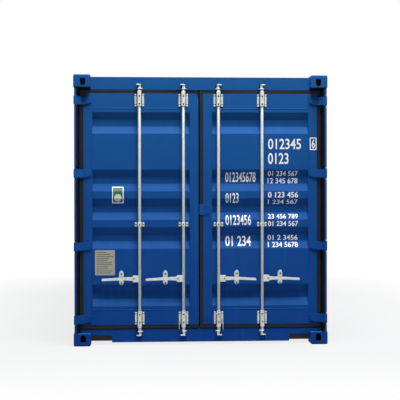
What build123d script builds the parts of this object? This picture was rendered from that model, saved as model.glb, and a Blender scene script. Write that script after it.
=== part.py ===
from build123d import *
import math
import os

# A twenty foot steel freight container, in millimetres. +Z is up, the doors face -Y,
# and the origin is the centre of the rectangle that the bottom castings stand on.
length = 6058.0
width = 2438.0
height = 2591.0

# Corner castings: hollow blocks with a slot above or below, and a hole in the side and in the end.
casting_width = 162.0
casting_length = 178.0
casting_height = 118.0
casting_wall = 28.0
casting_skin = 10.0
casting_round = 14.0
lift_slot_length = 124.5
lift_slot_width = 63.5
lift_slot_to_side = 89.5
lift_slot_to_end = 102.5
end_hole_width = 51.0
end_hole_height = 70.0
side_hole_length = 79.0
side_hole_height = 66.0
face_hole_rise = 72.0
face_hole_inset = 89.5

# The shell stands back from the castings, so that only they touch a neighbour.
side_setback = 8.0
end_setback = 6.0
wall_setback = 2.0

# Corner posts
post_plate = 6.0
rear_post_width = 41.0
rear_post_lip = 32.0
rear_post_lip_depth = 61.0
rear_post_step = 9.0
front_post_return = 48.0
front_post_round = 12.0

# Door header and sill
header_height = 113.0
header_wall = 4.0
header_lip = 8.0
header_lip_rise = 10.0
end_frame_recess = 91.0
sill_bottom = 26.0
sill_height = 127.0
sill_plate = 5.0
sill_notch_width = 200.0
sill_notch_height = 68.0
sill_notch_round = 15.0

# Side and end rails
top_rail_size = 60.0
top_rail_wall = 3.0
top_rail_drop = 26.0
base_gap = 13.0
bottom_rail_top = 175.0
bottom_rail_flange = 50.0
bottom_rail_toe = 30.0
bottom_rail_plate = 4.5
front_rail_bottom = 35.0
front_rail_wall = 4.0

# Side walls and front wall, pressed from sheet into upright flutes
sheet = 2.0
side_pitch = 278.0
side_crest = 72.0
side_slope = 68.0
side_depth = 36.0
front_pitch = 250.0
front_crest = 110.0
front_slope = 18.0
front_depth = 45.6

# Roof sheet with shallow ribs across it
roof_rib_pitch = 209.0
roof_rib_base = 118.0
roof_rib_crown = 91.0
roof_rib_rise = 18.0
roof_rib_margin = 131.0
roof_lap = 6.0
roof_plain_end = 330.0
corner_plate = 3.0
corner_plate_length = 300.0
corner_plate_width = 290.0

# Floor, its cross members and the fork pockets
floor_top = 167.0
floor_board = 28.0
floor_gap = 3.0
floor_rows = 5
member_pitch = 300.0
member_end_gap = 151.0
member_flange = 45.0
member_plate = 4.0
pocket_spacing = 2050.0
pocket_width = 360.0
pocket_height = 115.0
pocket_plate = 6.0
pocket_strap_length = 200.0

# Door leaves: a frame of tube and channel round a fluted panel
leaf_gap = 44.0
leaf_to_post = 42.0
leaf_foot_gap = 40.0
leaf_head_gap = 35.0
leaf_corner_width = 24.0
leaf_corner_height = 50.0
leaf_thickness = 50.0
leaf_face_from_end = 84.0
stile_width = 86.0
stile_wall = 3.0
rail_height = 145.0
rail_plate = 3.0
flute_divisions = 7
flute_rows = (0, 2, 3, 4, 6)
flute_fall = 69.0
flute_floor = 66.0
flute_rise = 72.0
flute_depth = 36.0

# Door seal
seal_clearance = 5.0
seal_meeting_clearance = 12.0
seal_inset = 3.0
seal_groove_depth = 8.0
seal_groove_width = 18.0

# Hinges: forged blades on the leaves, pins in brackets let into the posts
hinge_count = 4
hinge_foot_inset = 56.0
hinge_head_inset = 70.0
hinge_pin_to_side = 19.0
hinge_pin_to_end = 20.0
hinge_pin_radius = 10.0
hinge_knuckle_radius = 17.0
hinge_pin_clearance = 0.3
hinge_blade_height = 78.0
hinge_blade_plate = 12.0
hinge_blade_lap = 78.0
hinge_bend_past_edge = 5.0
hinge_blade_taper = 22.0
hinge_blade_belly = 6.0
hinge_play = 1.0
hinge_lug_plate = 12.0
hinge_lug_margin = 6.0
hinge_back_plate = 6.0
hinge_notch_margin = 6.0
hinge_notch_depth = 55.0

# Locking bars, their brackets and their keepers
inner_bar_share = 0.133
outer_bar_share = 0.514
bar_radius = 16.0
bar_standoff = 26.0
bar_clearance = 0.4
bracket_width = 96.0
bracket_plate = 6.0
bracket_height = 118.0
bracket_edge_gap = 6.0
bracket_corner = 10.0
bracket_cover_width = 48.0
bracket_cover_wall = 4.0
bracket_cover_corner = 9.0
middle_bracket_height = 44.0
middle_bracket_drop = 8.0
cam_back = 20.0
cam_claw_reach = 38.0
cam_claw_width = 16.0
cam_height = 18.0
keeper_clearance = 6.0
keeper_edge_gap = 11.0
keeper_back = 6.0
keeper_back_width = 48.0
keeper_prong = 8.0
keeper_prong_width = 74.0
keeper_prong_past_bar = 22.0
hook_bar = 8.0
hook_length = 165.0
hook_reach = 18.0
hook_tip = 16.0

# Handles and the retainers that hold them down
handle_rise = 58.0
handle_to_next_bar = 57.0
handle_pivot_offset = 55.0
handle_pin_radius = 6.0
handle_pin_clearance = 0.3
handle_thickness = 12.0
handle_waist = 26.0
handle_grip = 22.0
handle_droop = 9.0
handle_root_radius = 19.0
hub_height = 70.0
hub_cheek = 4.5
hub_overhang = 20.0
hub_corner = 8.0
hub_play = 0.5
retainer_offset = 175.0
retainer_width = 44.0
retainer_height = 131.0
retainer_above_handle = 8.0
retainer_plate = 5.0
retainer_seat_gap = 0.3
retainer_shelf = 9.0
retainer_shelf_width = 30.0
retainer_shelf_reach = 34.0
catch_above_handle = 48.0
catch_post = 12.0
catch_pin_radius = 4.5
catch_clearance = 5.0
catch_plate = 4.0
catch_width = 24.0
catch_length = 60.0
catch_corner = 7.0

# Plate on the right leaf that laps over the joint between the leaves
lap_plate_clearance = 7.0
lap_plate_right = 82.0
lap_plate_rise = 1057.0
lap_plate_height = 103.0
lap_plate = 5.0

# Ventilators, one on each side in a flute near the blind end
vent_to_end = 420.0
vent_width = 60.0
vent_height = 150.0
vent_depth = 22.0
vent_drop = 60.0
vent_slots = 5
vent_slot_width = 44.0
vent_slot_height = 8.0
vent_slot_depth = 6.0

# Places that follow from the sizes above
side_face = width / 2 - side_setback
wall_face = side_face - wall_setback
end_face = length / 2 - end_setback
casting_inner_x = width / 2 - casting_width
casting_inner_y = length / 2 - casting_length
post_inner_x = side_face - rear_post_width
post_top = height - casting_height
door_plane = -(length / 2 - leaf_face_from_end)
end_frame_face = -(length / 2 - end_frame_recess)
leaf_inner = leaf_gap / 2
leaf_outer = post_inner_x - leaf_to_post
bar_line = door_plane - bar_standoff
pin_x = width / 2 - hinge_pin_to_side
pin_y = -(length / 2 - hinge_pin_to_end)
top_rail_top = height - top_rail_drop
top_rail_bottom = top_rail_top - top_rail_size
header_bottom = top_rail_top - header_height
sill_top = sill_bottom + sill_height
leaf_bottom = sill_top + leaf_foot_gap
leaf_top = header_bottom - leaf_head_gap
floor_bottom = floor_top - floor_board
panel_top = leaf_top - rail_height
panel_bottom = leaf_bottom + rail_height
flute_pitch = (panel_top - panel_bottom) / flute_divisions
flute_lead = (flute_pitch - flute_fall - flute_floor - flute_rise) / 2
leaf_width = leaf_outer - leaf_inner
bar_places = [leaf_inner + share * leaf_width for share in (inner_bar_share, outer_bar_share)]
handle_length = bar_places[1] - bar_places[0] - handle_to_next_bar
handle_height = panel_top - flute_lead - flute_rows[-1] * flute_pitch + handle_rise


def block(x_span, y_span, z_span):
    """A box between two faces on each axis."""
    size = [span[1] - span[0] for span in (x_span, y_span, z_span)]
    middle = [(span[0] + span[1]) / 2 for span in (x_span, y_span, z_span)]
    return Pos(*middle) * Box(*size)


def upright(radius, x, y, z_span):
    """A round bar along Z."""
    return Pos(x, y, (z_span[0] + z_span[1]) / 2) * Cylinder(radius, z_span[1] - z_span[0])


def across(radius, x, z, y_span):
    """A round bar along Y."""
    turned = Rot(90, 0, 0) * Cylinder(radius, y_span[1] - y_span[0])
    return Pos(x, (y_span[0] + y_span[1]) / 2, z) * turned


def mirrored(solid):
    """The same piece on the other side of the container."""
    return mirror(solid, about=Plane.YZ)


def both_sides(solids):
    """The pieces of the right side and their mirror images."""
    return list(solids) + [mirrored(solid) for solid in solids]


def save(node, solids):
    """One file for a node, whose solids don't touch each other."""
    pieces = [piece for solid in solids for piece in solid.solids()]
    export_step(Compound(children=pieces), "parts/" + node + ".step")


def fluted_sheet(plane, span, starts, fall, floor, rise, depth, thickness, extent):
    """A sheet with a trapezoid flute from each start: along x of the plane, sunk along its y."""
    face = [(0, 0)]
    for start in starts:
        face.append((start, 0))
        face.append((start + fall, depth))
        face.append((start + fall + floor, depth))
        face.append((start + fall + floor + rise, 0))
    face.append((span, 0))
    back = [(along, sunk + thickness) for along, sunk in reversed(face)]
    outline = make_face(Polyline(*face, *back, close=True))
    return extrude(plane * outline, extent)


def even_starts(span, pitch, crest):
    """Where the flutes of a wall start when the same plain strip is left at both ends."""
    count = int((span - crest) // pitch)
    plain = (span - count * pitch + crest) / 2
    return [plain + index * pitch for index in range(count)]


def hinge_centres():
    """The heights of the hinges, evenly spaced up the leaf."""
    lowest = leaf_bottom + hinge_foot_inset
    spacing = (leaf_top - hinge_head_inset - lowest) / (hinge_count - 1)
    return [lowest + index * spacing for index in range(hinge_count)]


def corner_casting():
    """The bottom casting of the corner at +X, +Y: a block, its cavity and three apertures."""
    side = width / 2
    end = length / 2
    body = block((casting_inner_x, side), (casting_inner_y, end), (0, casting_height))
    side_edges = body.edges().group_by(Axis.X)[-1].sort_by(Axis.Z)[:-1].sort_by(Axis.Y)[1:]
    end_edge = body.edges().filter_by(Axis.X).group_by(Axis.Y)[-1].sort_by(Axis.Z)[0]
    inner_edge = body.edges().filter_by(Axis.Y).group_by(Axis.X)[0].sort_by(Axis.Z)[0]
    body = fillet([*side_edges, end_edge, inner_edge], casting_round)
    body -= block(
        (casting_inner_x + casting_skin, side - casting_wall),
        (casting_inner_y + casting_skin, end - casting_wall),
        (casting_wall, casting_height - casting_skin),
    )
    slot = extrude(SlotOverall(lift_slot_length, lift_slot_width, rotation=90), 2 * casting_wall, both=True)
    body -= Pos(side - lift_slot_to_side, end - lift_slot_to_end, 0) * slot
    side_plane = Plane((side, end - face_hole_inset, face_hole_rise), x_dir=(0, 1, 0), z_dir=(1, 0, 0))
    body -= extrude(side_plane * SlotOverall(side_hole_length, side_hole_height), casting_wall, both=True)
    arch_rise = (end_hole_height - end_hole_width) / 2
    arch = Pos(0, arch_rise) * Circle(end_hole_width / 2)
    arch += Pos(0, (arch_rise - end_hole_height / 2) / 2) * Rectangle(
        end_hole_width, end_hole_height / 2 + arch_rise
    )
    end_plane = Plane((side - face_hole_inset, end, face_hole_rise), x_dir=(-1, 0, 0), z_dir=(0, 1, 0))
    body -= extrude(end_plane * arch, casting_wall, both=True)
    return body


def four_castings():
    """The bottom castings of all four corners."""
    front = corner_casting()
    return both_sides([front, mirror(front, about=Plane.XZ)])


def rear_post():
    """The door post on the right: a pressed tube, with a lip in front that is let out at each hinge."""
    lip_inner = side_face - rear_post_lip
    step_start = -end_face + rear_post_lip_depth
    step_end = step_start + rear_post_step
    corners = [
        (lip_inner, -end_face),
        (side_face, -end_face),
        (side_face, -casting_inner_y),
        (post_inner_x, -casting_inner_y),
        (post_inner_x, step_end),
        (lip_inner, step_start),
    ]
    outline = make_face(Polyline(*corners, close=True))
    section = outline - offset(outline, -post_plate)
    post = Pos(0, 0, casting_height) * extrude(section, post_top - casting_height)
    half_notch = hinge_blade_height / 2 + hinge_play + hinge_lug_plate + hinge_notch_margin
    for centre in hinge_centres():
        post -= block(
            (lip_inner, side_face),
            (-end_face, -end_face + hinge_notch_depth),
            (centre - half_notch, centre + half_notch),
        )
    return post


def hinge_bracket(centre):
    """Two lugs on a back plate, set in a notch of the post, with the pin through them."""
    notch_back = -end_face + hinge_notch_depth
    inner = pin_x - hinge_knuckle_radius
    half_gap = hinge_blade_height / 2 + hinge_play
    half_height = half_gap + hinge_lug_plate
    bracket = block(
        (inner, side_face),
        (notch_back - hinge_back_plate, notch_back),
        (centre - half_height, centre + half_height),
    )
    nose = pin_y - hinge_pin_radius - hinge_lug_margin
    corners = [
        (inner, notch_back),
        (inner, pin_y),
        (pin_x - hinge_pin_radius, nose),
        (side_face, nose),
        (side_face, notch_back),
    ]
    plan = make_face(Polyline(*corners, close=True))
    for low in (-half_height, half_gap):
        bracket += Pos(0, 0, centre + low) * extrude(plan, hinge_lug_plate)
    return bracket + upright(hinge_pin_radius, pin_x, pin_y, (centre - half_gap, centre + half_gap))


def hinge_blade(centre):
    """A forged blade on the right leaf: flat on the stile, cranked forward to its knuckle."""
    bottom = centre - hinge_blade_height / 2
    inner = leaf_outer - hinge_blade_lap
    bend = leaf_outer + hinge_bend_past_edge
    face = door_plane - hinge_blade_plate
    crank = math.hypot(pin_x - bend, face - pin_y)
    side_x = (face - pin_y) / crank * hinge_blade_plate / 2
    side_y = (pin_x - bend) / crank * hinge_blade_plate / 2
    corners = [
        (inner, door_plane),
        (inner, face),
        (bend - side_x, face),
        (pin_x - side_x, pin_y - side_y),
        (pin_x + side_x, pin_y + side_y),
        (bend + side_x, door_plane),
    ]
    plan = make_face(Polyline(*corners, close=True)) + Pos(pin_x, pin_y) * Circle(hinge_knuckle_radius)
    plan -= Pos(pin_x, pin_y) * Circle(hinge_pin_radius + hinge_pin_clearance)
    blade = Pos(0, 0, bottom) * extrude(plan, hinge_blade_height)
    tip = (inner, bottom + hinge_blade_taper)
    belly = ((inner + bend) / 2, bottom + hinge_blade_belly)
    under = [
        ThreePointArc((bend, bottom), belly, tip),
        Line(tip, (inner, bottom)),
        Line((inner, bottom), (bend, bottom)),
    ]
    plane = Plane((0, door_plane, 0), x_dir=(1, 0, 0), z_dir=(0, -1, 0))
    return blade - extrude(plane * make_face(under), hinge_blade_plate)


def header():
    """The box section over the doors, between the top castings, with a lip above the roof sheet."""
    outer = Rectangle(top_rail_top - header_bottom, -casting_inner_y - end_frame_face)
    section = outer - offset(outer, -header_wall)
    middle = ((end_frame_face - casting_inner_y) / 2, (header_bottom + top_rail_top) / 2)
    plane = Plane((-casting_inner_x, *middle), x_dir=(0, 0, 1), z_dir=(1, 0, 0))
    return extrude(plane * section, 2 * casting_inner_x) + block(
        (-casting_inner_x, casting_inner_x),
        (end_frame_face, end_frame_face + header_lip),
        (top_rail_top, top_rail_top + header_lip_rise),
    )


def header_filler():
    """The bar under the top casting that closes the corner between header and post."""
    return block(
        (casting_inner_x, post_inner_x),
        (door_plane + leaf_thickness, -casting_inner_y),
        (header_bottom, post_top),
    )


def sill():
    """The threshold: a channel open to the inside, with a notch near each end."""
    front = end_frame_face
    back = -casting_inner_y
    middle_y = (front + back) / 2
    outline = Pos(middle_y, sill_bottom + sill_height / 2) * Rectangle(back - front, sill_height)
    hollow = Pos(sill_plate, 0) * outline
    hollow -= Pos(middle_y, sill_top - sill_plate / 2) * Rectangle(2 * (back - front), sill_plate)
    hollow -= Pos(middle_y, sill_bottom + sill_plate / 2) * Rectangle(2 * (back - front), sill_plate)
    plane = Plane((-post_inner_x, 0, 0), x_dir=(0, 1, 0), z_dir=(1, 0, 0))
    beam = extrude(plane * (outline - hollow), 2 * post_inner_x)
    notch_x = casting_inner_x - sill_notch_width / 2
    notch = Rectangle(sill_notch_width, 2 * sill_notch_height)
    notch = fillet(notch.vertices().group_by(Axis.Y)[-1], sill_notch_round)
    for side in (-1, 1):
        end_x = sorted((side * casting_inner_x, side * post_inner_x))
        beam -= block(end_x, (front, back), (sill_bottom, casting_height))
        notch_plane = Plane((side * notch_x, front, sill_bottom), x_dir=(1, 0, 0), z_dir=(0, -1, 0))
        beam -= extrude(notch_plane * notch, 2 * (back - front), both=True)
    return beam


def front_post():
    """The front post on the right: plate pressed into an open section with two returns."""
    inner = casting_inner_x
    middle = ((inner + side_face) / 2, (casting_inner_y + end_face) / 2)
    outline = Pos(*middle) * Rectangle(side_face - inner, end_face - casting_inner_y)
    corner = outline.vertices().sort_by(Axis.Y)[-2:].sort_by(Axis.X)[-1]
    outline = fillet(corner, front_post_round)
    section = outline - offset(outline, -post_plate)
    opening_x = side_face - front_post_return
    opening_y = end_face - front_post_return
    section -= Pos((inner + opening_x) / 2, (casting_inner_y + opening_y) / 2) * Rectangle(
        opening_x - inner, opening_y - casting_inner_y
    )
    return Pos(0, 0, casting_height) * extrude(section, post_top - casting_height)


def square_tube(plane, across_size, up_size, wall, run):
    """A rectangular tube along the normal of a plane, centred on its origin."""
    outer = Rectangle(across_size, up_size)
    return extrude(plane * (outer - offset(outer, -wall)), run)


def top_side_rail():
    """The tube along the top of the right side."""
    centre = (side_face - top_rail_size / 2, -casting_inner_y, top_rail_top - top_rail_size / 2)
    plane = Plane(centre, x_dir=(1, 0, 0), z_dir=(0, 1, 0))
    return square_tube(plane, top_rail_size, top_rail_size, top_rail_wall, 2 * casting_inner_y)


def front_top_rail():
    """The tube over the front wall, between the top castings."""
    centre = (-casting_inner_x, end_face - top_rail_size / 2, top_rail_top - top_rail_size / 2)
    plane = Plane(centre, x_dir=(0, 1, 0), z_dir=(1, 0, 0))
    return square_tube(plane, top_rail_size, top_rail_size, top_rail_wall, 2 * casting_inner_x)


def front_bottom_rail():
    """The tube under the front wall, between the bottom castings."""
    rise = bottom_rail_top - front_rail_bottom
    centre = (-casting_inner_x, end_face - top_rail_size / 2, front_rail_bottom + rise / 2)
    plane = Plane(centre, x_dir=(0, 1, 0), z_dir=(1, 0, 0))
    return square_tube(plane, top_rail_size, rise, front_rail_wall, 2 * casting_inner_x)


def bottom_side_rail():
    """The channel along the bottom of the right side, cut through for the fork pockets."""
    web = (side_face - bottom_rail_plate, side_face)
    run = (-casting_inner_y, casting_inner_y)
    rail = block(web, run, (base_gap, bottom_rail_top))
    flange = (side_face - bottom_rail_flange, side_face)
    toe = (side_face - bottom_rail_toe, side_face)
    rail += block(flange, run, (bottom_rail_top - bottom_rail_plate, bottom_rail_top))
    rail += block(toe, run, (base_gap, base_gap + bottom_rail_plate))
    for pocket_y in (-pocket_spacing / 2, pocket_spacing / 2):
        rail -= block(
            flange,
            (pocket_y - pocket_width / 2, pocket_y + pocket_width / 2),
            (base_gap, base_gap + pocket_plate + pocket_height),
        )
    return rail


def side_vent(y):
    """A ventilator cover on the floor of the flute at y, with level slots in its face."""
    face = wall_face - side_depth + vent_depth
    top = top_rail_bottom - vent_drop
    half = vent_width / 2
    cover = block((wall_face - side_depth, face), (y - half, y + half), (top - vent_height, top))
    for index in range(vent_slots):
        slot_z = top - vent_height * (index + 1) / (vent_slots + 1)
        cover -= block(
            (face - vent_slot_depth, face),
            (y - vent_slot_width / 2, y + vent_slot_width / 2),
            (slot_z - vent_slot_height / 2, slot_z + vent_slot_height / 2),
        )
    return cover


def side_wall():
    """The fluted wall on the right with its ventilator, from the rail below to the rail above."""
    span = 2 * casting_inner_y
    plane = Plane((wall_face, -casting_inner_y, bottom_rail_top), x_dir=(0, 1, 0), z_dir=(0, 0, 1))
    floor = side_pitch - side_crest - 2 * side_slope
    starts = even_starts(span, side_pitch, side_crest)
    extent = top_rail_bottom - bottom_rail_top
    wall = fluted_sheet(plane, span, starts, side_slope, floor, side_slope, side_depth, sheet, extent)
    vent_start = max(start for start in starts if start < span - vent_to_end)
    return wall + side_vent(vent_start + side_slope + floor / 2 - casting_inner_y)


def front_wall():
    """The fluted wall at the blind end."""
    span = 2 * casting_inner_x
    origin = (casting_inner_x, end_face - wall_setback, bottom_rail_top)
    plane = Plane(origin, x_dir=(-1, 0, 0), z_dir=(0, 0, 1))
    floor = front_pitch - front_crest - 2 * front_slope
    starts = even_starts(span, front_pitch, front_crest)
    extent = top_rail_bottom - bottom_rail_top
    return fluted_sheet(plane, span, starts, front_slope, floor, front_slope, front_depth, sheet, extent)


def roof_rib(y, drop):
    """One rib of the roof as a filled form, let down by drop."""
    slope = (roof_rib_base - roof_rib_crown) / 2
    reach = side_face - roof_rib_margin
    base = Plane((0, y, top_rail_top - drop))
    crown = base.offset(roof_rib_rise + sheet)
    low = base * Rectangle(2 * reach, roof_rib_base)
    high = crown * Rectangle(2 * (reach - slope), roof_rib_crown)
    return loft([low, high])


def roof():
    """The roof sheet: it lies on the rails and the header, and its ribs stop short of them."""
    plate = block(
        (roof_lap - side_face, side_face - roof_lap),
        (-casting_inner_y, casting_inner_y),
        (top_rail_top, top_rail_top + sheet),
    )
    plate += block(
        (-casting_inner_x, casting_inner_x),
        (end_frame_face + header_lip, end_face - roof_lap),
        (top_rail_top, top_rail_top + sheet),
    )
    span = 2 * (casting_inner_y - roof_plain_end)
    count = int(span // roof_rib_pitch)
    places = [(index - (count - 1) / 2) * roof_rib_pitch for index in range(count)]
    plate += [roof_rib(y, 0) for y in places]
    plate -= [roof_rib(y, sheet) for y in places]
    return plate


def roof_corner_plate():
    """The doubling plate that guards the roof beside the casting at +X, +Y."""
    outer = side_face - roof_lap
    return block(
        (outer - corner_plate_width, outer),
        (casting_inner_y - corner_plate_length, casting_inner_y),
        (top_rail_top + sheet, top_rail_top + sheet + corner_plate),
    )


def floor_boards():
    """Plywood boards in two columns, cut back at the front round the posts."""
    reach = side_face - bottom_rail_flange - floor_gap
    back = end_face - top_rail_size - floor_gap
    start = -casting_inner_y + floor_gap
    run = (back - start - (floor_rows - 1) * floor_gap) / floor_rows
    corner = block(
        (casting_inner_x - floor_gap, side_face),
        (casting_inner_y - floor_gap, end_face),
        (floor_bottom, floor_top),
    )
    boards = []
    for row in range(floor_rows):
        near = start + row * (run + floor_gap)
        board = block((floor_gap / 2, reach), (near, near + run), (floor_bottom, floor_top))
        boards.append(board - corner)
    return both_sides(boards)


def channel(flange_direction, y_web):
    """A cross member: its web upright at y_web, its flanges on one side of it."""
    reach = side_face - bottom_rail_toe
    run = (-reach, reach)
    rise = (base_gap, floor_bottom)
    toe = sorted((y_web, y_web + flange_direction * member_flange))
    member = block(run, sorted((y_web, y_web + flange_direction * member_plate)), rise)
    member += block(run, toe, (base_gap, base_gap + member_plate))
    member += block(run, toe, (floor_bottom - member_plate, floor_bottom))
    return member


def cross_members():
    """Channels under the floor at an even pitch, left out where the fork pockets are."""
    keep_out = pocket_width / 2 + 2 * member_flange
    count = int((casting_inner_y - member_end_gap) // member_pitch)
    members = []
    for index in range(-count, count + 1):
        y = index * member_pitch
        if abs(abs(y) - pocket_spacing / 2) > keep_out:
            members.append(channel(1, y - member_flange / 2))
    return members


def fork_pocket_sides():
    """The channels on both sides of each fork pocket."""
    sides = []
    for pocket_y in (-pocket_spacing / 2, pocket_spacing / 2):
        sides.append(channel(-1, pocket_y - pocket_width / 2))
        sides.append(channel(1, pocket_y + pocket_width / 2))
    return sides


def fork_pocket_plates():
    """The plate over each fork pocket and the straps under its two mouths."""
    reach = side_face - bottom_rail_toe
    plates = []
    for pocket_y in (-pocket_spacing / 2, pocket_spacing / 2):
        y_span = (pocket_y - pocket_width / 2, pocket_y + pocket_width / 2)
        plates.append(block((-reach, reach), y_span, (base_gap + pocket_plate + pocket_height, floor_bottom)))
        strap_x = (side_face - pocket_strap_length, side_face)
        strap = block(strap_x, y_span, (base_gap, base_gap + pocket_plate))
        plates.extend(both_sides([strap]))
    return plates


def leaf_panel():
    """The fluted panel of the right leaf, flush with the frame in front."""
    starts = [flute_lead + row * flute_pitch for row in flute_rows]
    plane = Plane((leaf_inner + stile_width, door_plane, panel_top), x_dir=(0, 0, -1), z_dir=(1, 0, 0))
    span = panel_top - panel_bottom
    extent = leaf_outer - leaf_inner - 2 * stile_width
    return fluted_sheet(plane, span, starts, flute_fall, flute_floor, flute_rise, flute_depth, sheet, extent)


def leaf_corner(y_span):
    """The wedge by which the left leaf's top corner beside the right leaf is cut back."""
    corners = [
        (leaf_inner, leaf_top),
        (leaf_inner + leaf_corner_width, leaf_top),
        (leaf_inner, leaf_top - leaf_corner_height),
    ]
    plane = Plane((0, y_span[1], 0), x_dir=(1, 0, 0), z_dir=(0, -1, 0))
    return extrude(plane * make_face(Polyline(*corners, close=True)), y_span[1] - y_span[0])


def leaf_frame():
    """The frame of the right leaf: two upright tubes, with a channel between them above and below."""
    frame = None
    for inner in (leaf_inner, leaf_outer - stile_width):
        centre = (inner + stile_width / 2, door_plane + leaf_thickness / 2, leaf_bottom)
        stile = square_tube(Plane(centre), stile_width, leaf_thickness, stile_wall, leaf_top - leaf_bottom)
        frame = stile if frame is None else frame + stile
    run = (leaf_inner + stile_width, leaf_outer - stile_width)
    for low in (leaf_bottom, leaf_top - rail_height):
        high = low + rail_height
        rail = block(run, (door_plane, door_plane + leaf_thickness), (low, high))
        hollow_y = (door_plane + rail_plate, door_plane + leaf_thickness)
        rail -= block(run, hollow_y, (low + rail_plate, high - rail_plate))
        frame += rail
    return frame


def seal_span():
    """The front and back of the seal, a little inside the leaf's thickness."""
    return (door_plane + seal_inset, door_plane + leaf_thickness - seal_inset)


def leaf_seal(meeting_strip):
    """The rubber seal round a leaf, with a groove between its two lips.

    Only one leaf has a strip along the joint between the leaves, so that either opens alone."""
    low = sill_top + seal_clearance
    high = header_bottom - seal_clearance
    left = leaf_inner - meeting_strip
    right = post_inner_x - seal_clearance
    y_span = seal_span()
    middle_y = (y_span[0] + y_span[1]) / 2
    groove_y = (middle_y - seal_groove_width / 2, middle_y + seal_groove_width / 2)
    seal = block((left, right), y_span, (low, high))
    groove = block((left, right), groove_y, (low, high))
    groove -= block(
        (left + min(seal_groove_depth, meeting_strip), right - seal_groove_depth),
        groove_y,
        (low + seal_groove_depth, high - seal_groove_depth),
    )
    return seal - groove - block((leaf_inner, leaf_outer), y_span, (leaf_bottom, leaf_top))


def bar_bracket(x, z_span):
    """A guide for a locking bar: a plate on the leaf and a pressed strap bent round the bar."""
    half = bracket_width / 2
    plate = block((x - half, x + half), (door_plane - bracket_plate, door_plane), z_span)
    plate = chamfer(plate.edges().filter_by(Axis.Y), bracket_corner)
    inside = bar_radius + bar_clearance
    front = bar_line - inside
    half = bracket_cover_width / 2
    strap = block((x - half, x + half), (front - bracket_cover_wall, door_plane), z_span)
    strap = chamfer(strap.edges().filter_by(Axis.Z).group_by(Axis.Y)[0], bracket_cover_corner)
    return plate + strap - block((x - inside, x + inside), (front, door_plane - bracket_plate), z_span)


def tie_hook(x, top):
    """The hook that holds an open leaf back: a bar that hangs beside a bracket and turns up at its foot."""
    side = x + bracket_width / 2
    foot = top - hook_length
    outline = [
        (side, top),
        (side, foot),
        (side + hook_reach, foot),
        (side + hook_reach, foot + hook_tip),
        (side + hook_reach - hook_bar, foot + hook_tip),
        (side + hook_reach - hook_bar, foot + hook_bar),
        (side + hook_bar, foot + hook_bar),
        (side + hook_bar, top),
    ]
    plane = Plane((0, door_plane, 0), x_dir=(1, 0, 0), z_dir=(0, -1, 0))
    return extrude(plane * make_face(Polyline(*outline, close=True)), hook_bar)


def low_bracket_span():
    """The bottom and top of the lowest guides."""
    low = leaf_bottom + bracket_edge_gap
    return (low, low + bracket_height)


def bar_brackets():
    """Three guides for each bar of the right leaf, with the tie hook on the one at the foot."""
    guides = []
    high = leaf_top - bracket_edge_gap
    strip = panel_top - 4 * flute_pitch - middle_bracket_drop
    for x in bar_places:
        guides.append(bar_bracket(x, low_bracket_span()))
        guides.append(bar_bracket(x, (strip - middle_bracket_height / 2, strip + middle_bracket_height / 2)))
        guides.append(bar_bracket(x, (high - bracket_height, high)))
    guides[0] += tie_hook(bar_places[0], low_bracket_span()[1])
    return guides


def keeper_room():
    """The height between the two prongs of a keeper."""
    return cam_height + 2 * keeper_clearance


def keeper(x, low, open_prong, full_prong):
    """A keeper on header or sill: a back plate and two prongs, the open one forked round the bar."""
    height_all = keeper_room() + 2 * keeper_prong
    back_half = keeper_back_width / 2
    half = keeper_prong_width / 2
    back = (end_frame_face - keeper_back, end_frame_face)
    reach = (bar_line - keeper_prong_past_bar, end_frame_face)
    body = block((x - back_half, x + back_half), back, (low, low + height_all))
    for start in (open_prong, full_prong):
        body += block((x - half, x + half), reach, (low + start, low + start + keeper_prong))
    fork = bar_radius + keeper_clearance
    return body - block(
        (x - fork, x + fork),
        (reach[0], back[0]),
        (low + open_prong, low + open_prong + keeper_prong),
    )


def top_keeper_low():
    """The underside of the keepers on the header."""
    return header_bottom + keeper_edge_gap


def bottom_keeper_low():
    """The underside of the keepers on the sill."""
    return sill_top - keeper_edge_gap - keeper_room() - 2 * keeper_prong


def keepers():
    """The keepers of the right leaf's bars, above and below."""
    far = keeper_room() + keeper_prong
    places = []
    for x in bar_places:
        places.append(keeper(x, top_keeper_low(), 0, far))
        places.append(keeper(x, bottom_keeper_low(), far, 0))
    return places


def cam(x, low):
    """The forged end of a bar: a block with a claw that turns between the prongs of its keeper."""
    half = cam_claw_width / 2
    corners = [
        (-half, -cam_back),
        (half, -cam_back),
        (cam_back, -half),
        (cam_claw_reach, -half),
        (cam_claw_reach, half),
        (cam_back, half),
        (half, cam_back),
        (-half, cam_back),
        (-cam_back, half),
        (-cam_back, -half),
    ]
    plan = make_face(Polyline(*corners, close=True))
    return Pos(x, bar_line, low) * extrude(plan, cam_height)


def handle_hub(x):
    """The clevis on a bar that carries its handle: two cheeks and the pin."""
    pivot = x + handle_pivot_offset
    inner = handle_thickness / 2 + hub_play
    outer = inner + hub_cheek
    z_span = (handle_height - hub_height / 2, handle_height + hub_height / 2)
    hub = across(handle_pin_radius, pivot, handle_height, (bar_line - inner, bar_line + inner))
    for side in (-1, 1):
        y_span = sorted((bar_line + side * inner, bar_line + side * outer))
        cheek = block((x, pivot + hub_overhang), y_span, z_span)
        hub += chamfer(cheek.edges().filter_by(Axis.Y).group_by(Axis.X)[-1], hub_corner)
    return hub


def lock_bar(x):
    """A locking bar of the right leaf, with a cam at each end and the hub of its handle."""
    bottom = bottom_keeper_low() + keeper_prong + keeper_clearance
    top = top_keeper_low() + keeper_prong + keeper_clearance
    bar = upright(bar_radius, x, bar_line, (bottom, top + cam_height))
    return bar + handle_hub(x) + cam(x, bottom) + cam(x, top)


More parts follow.
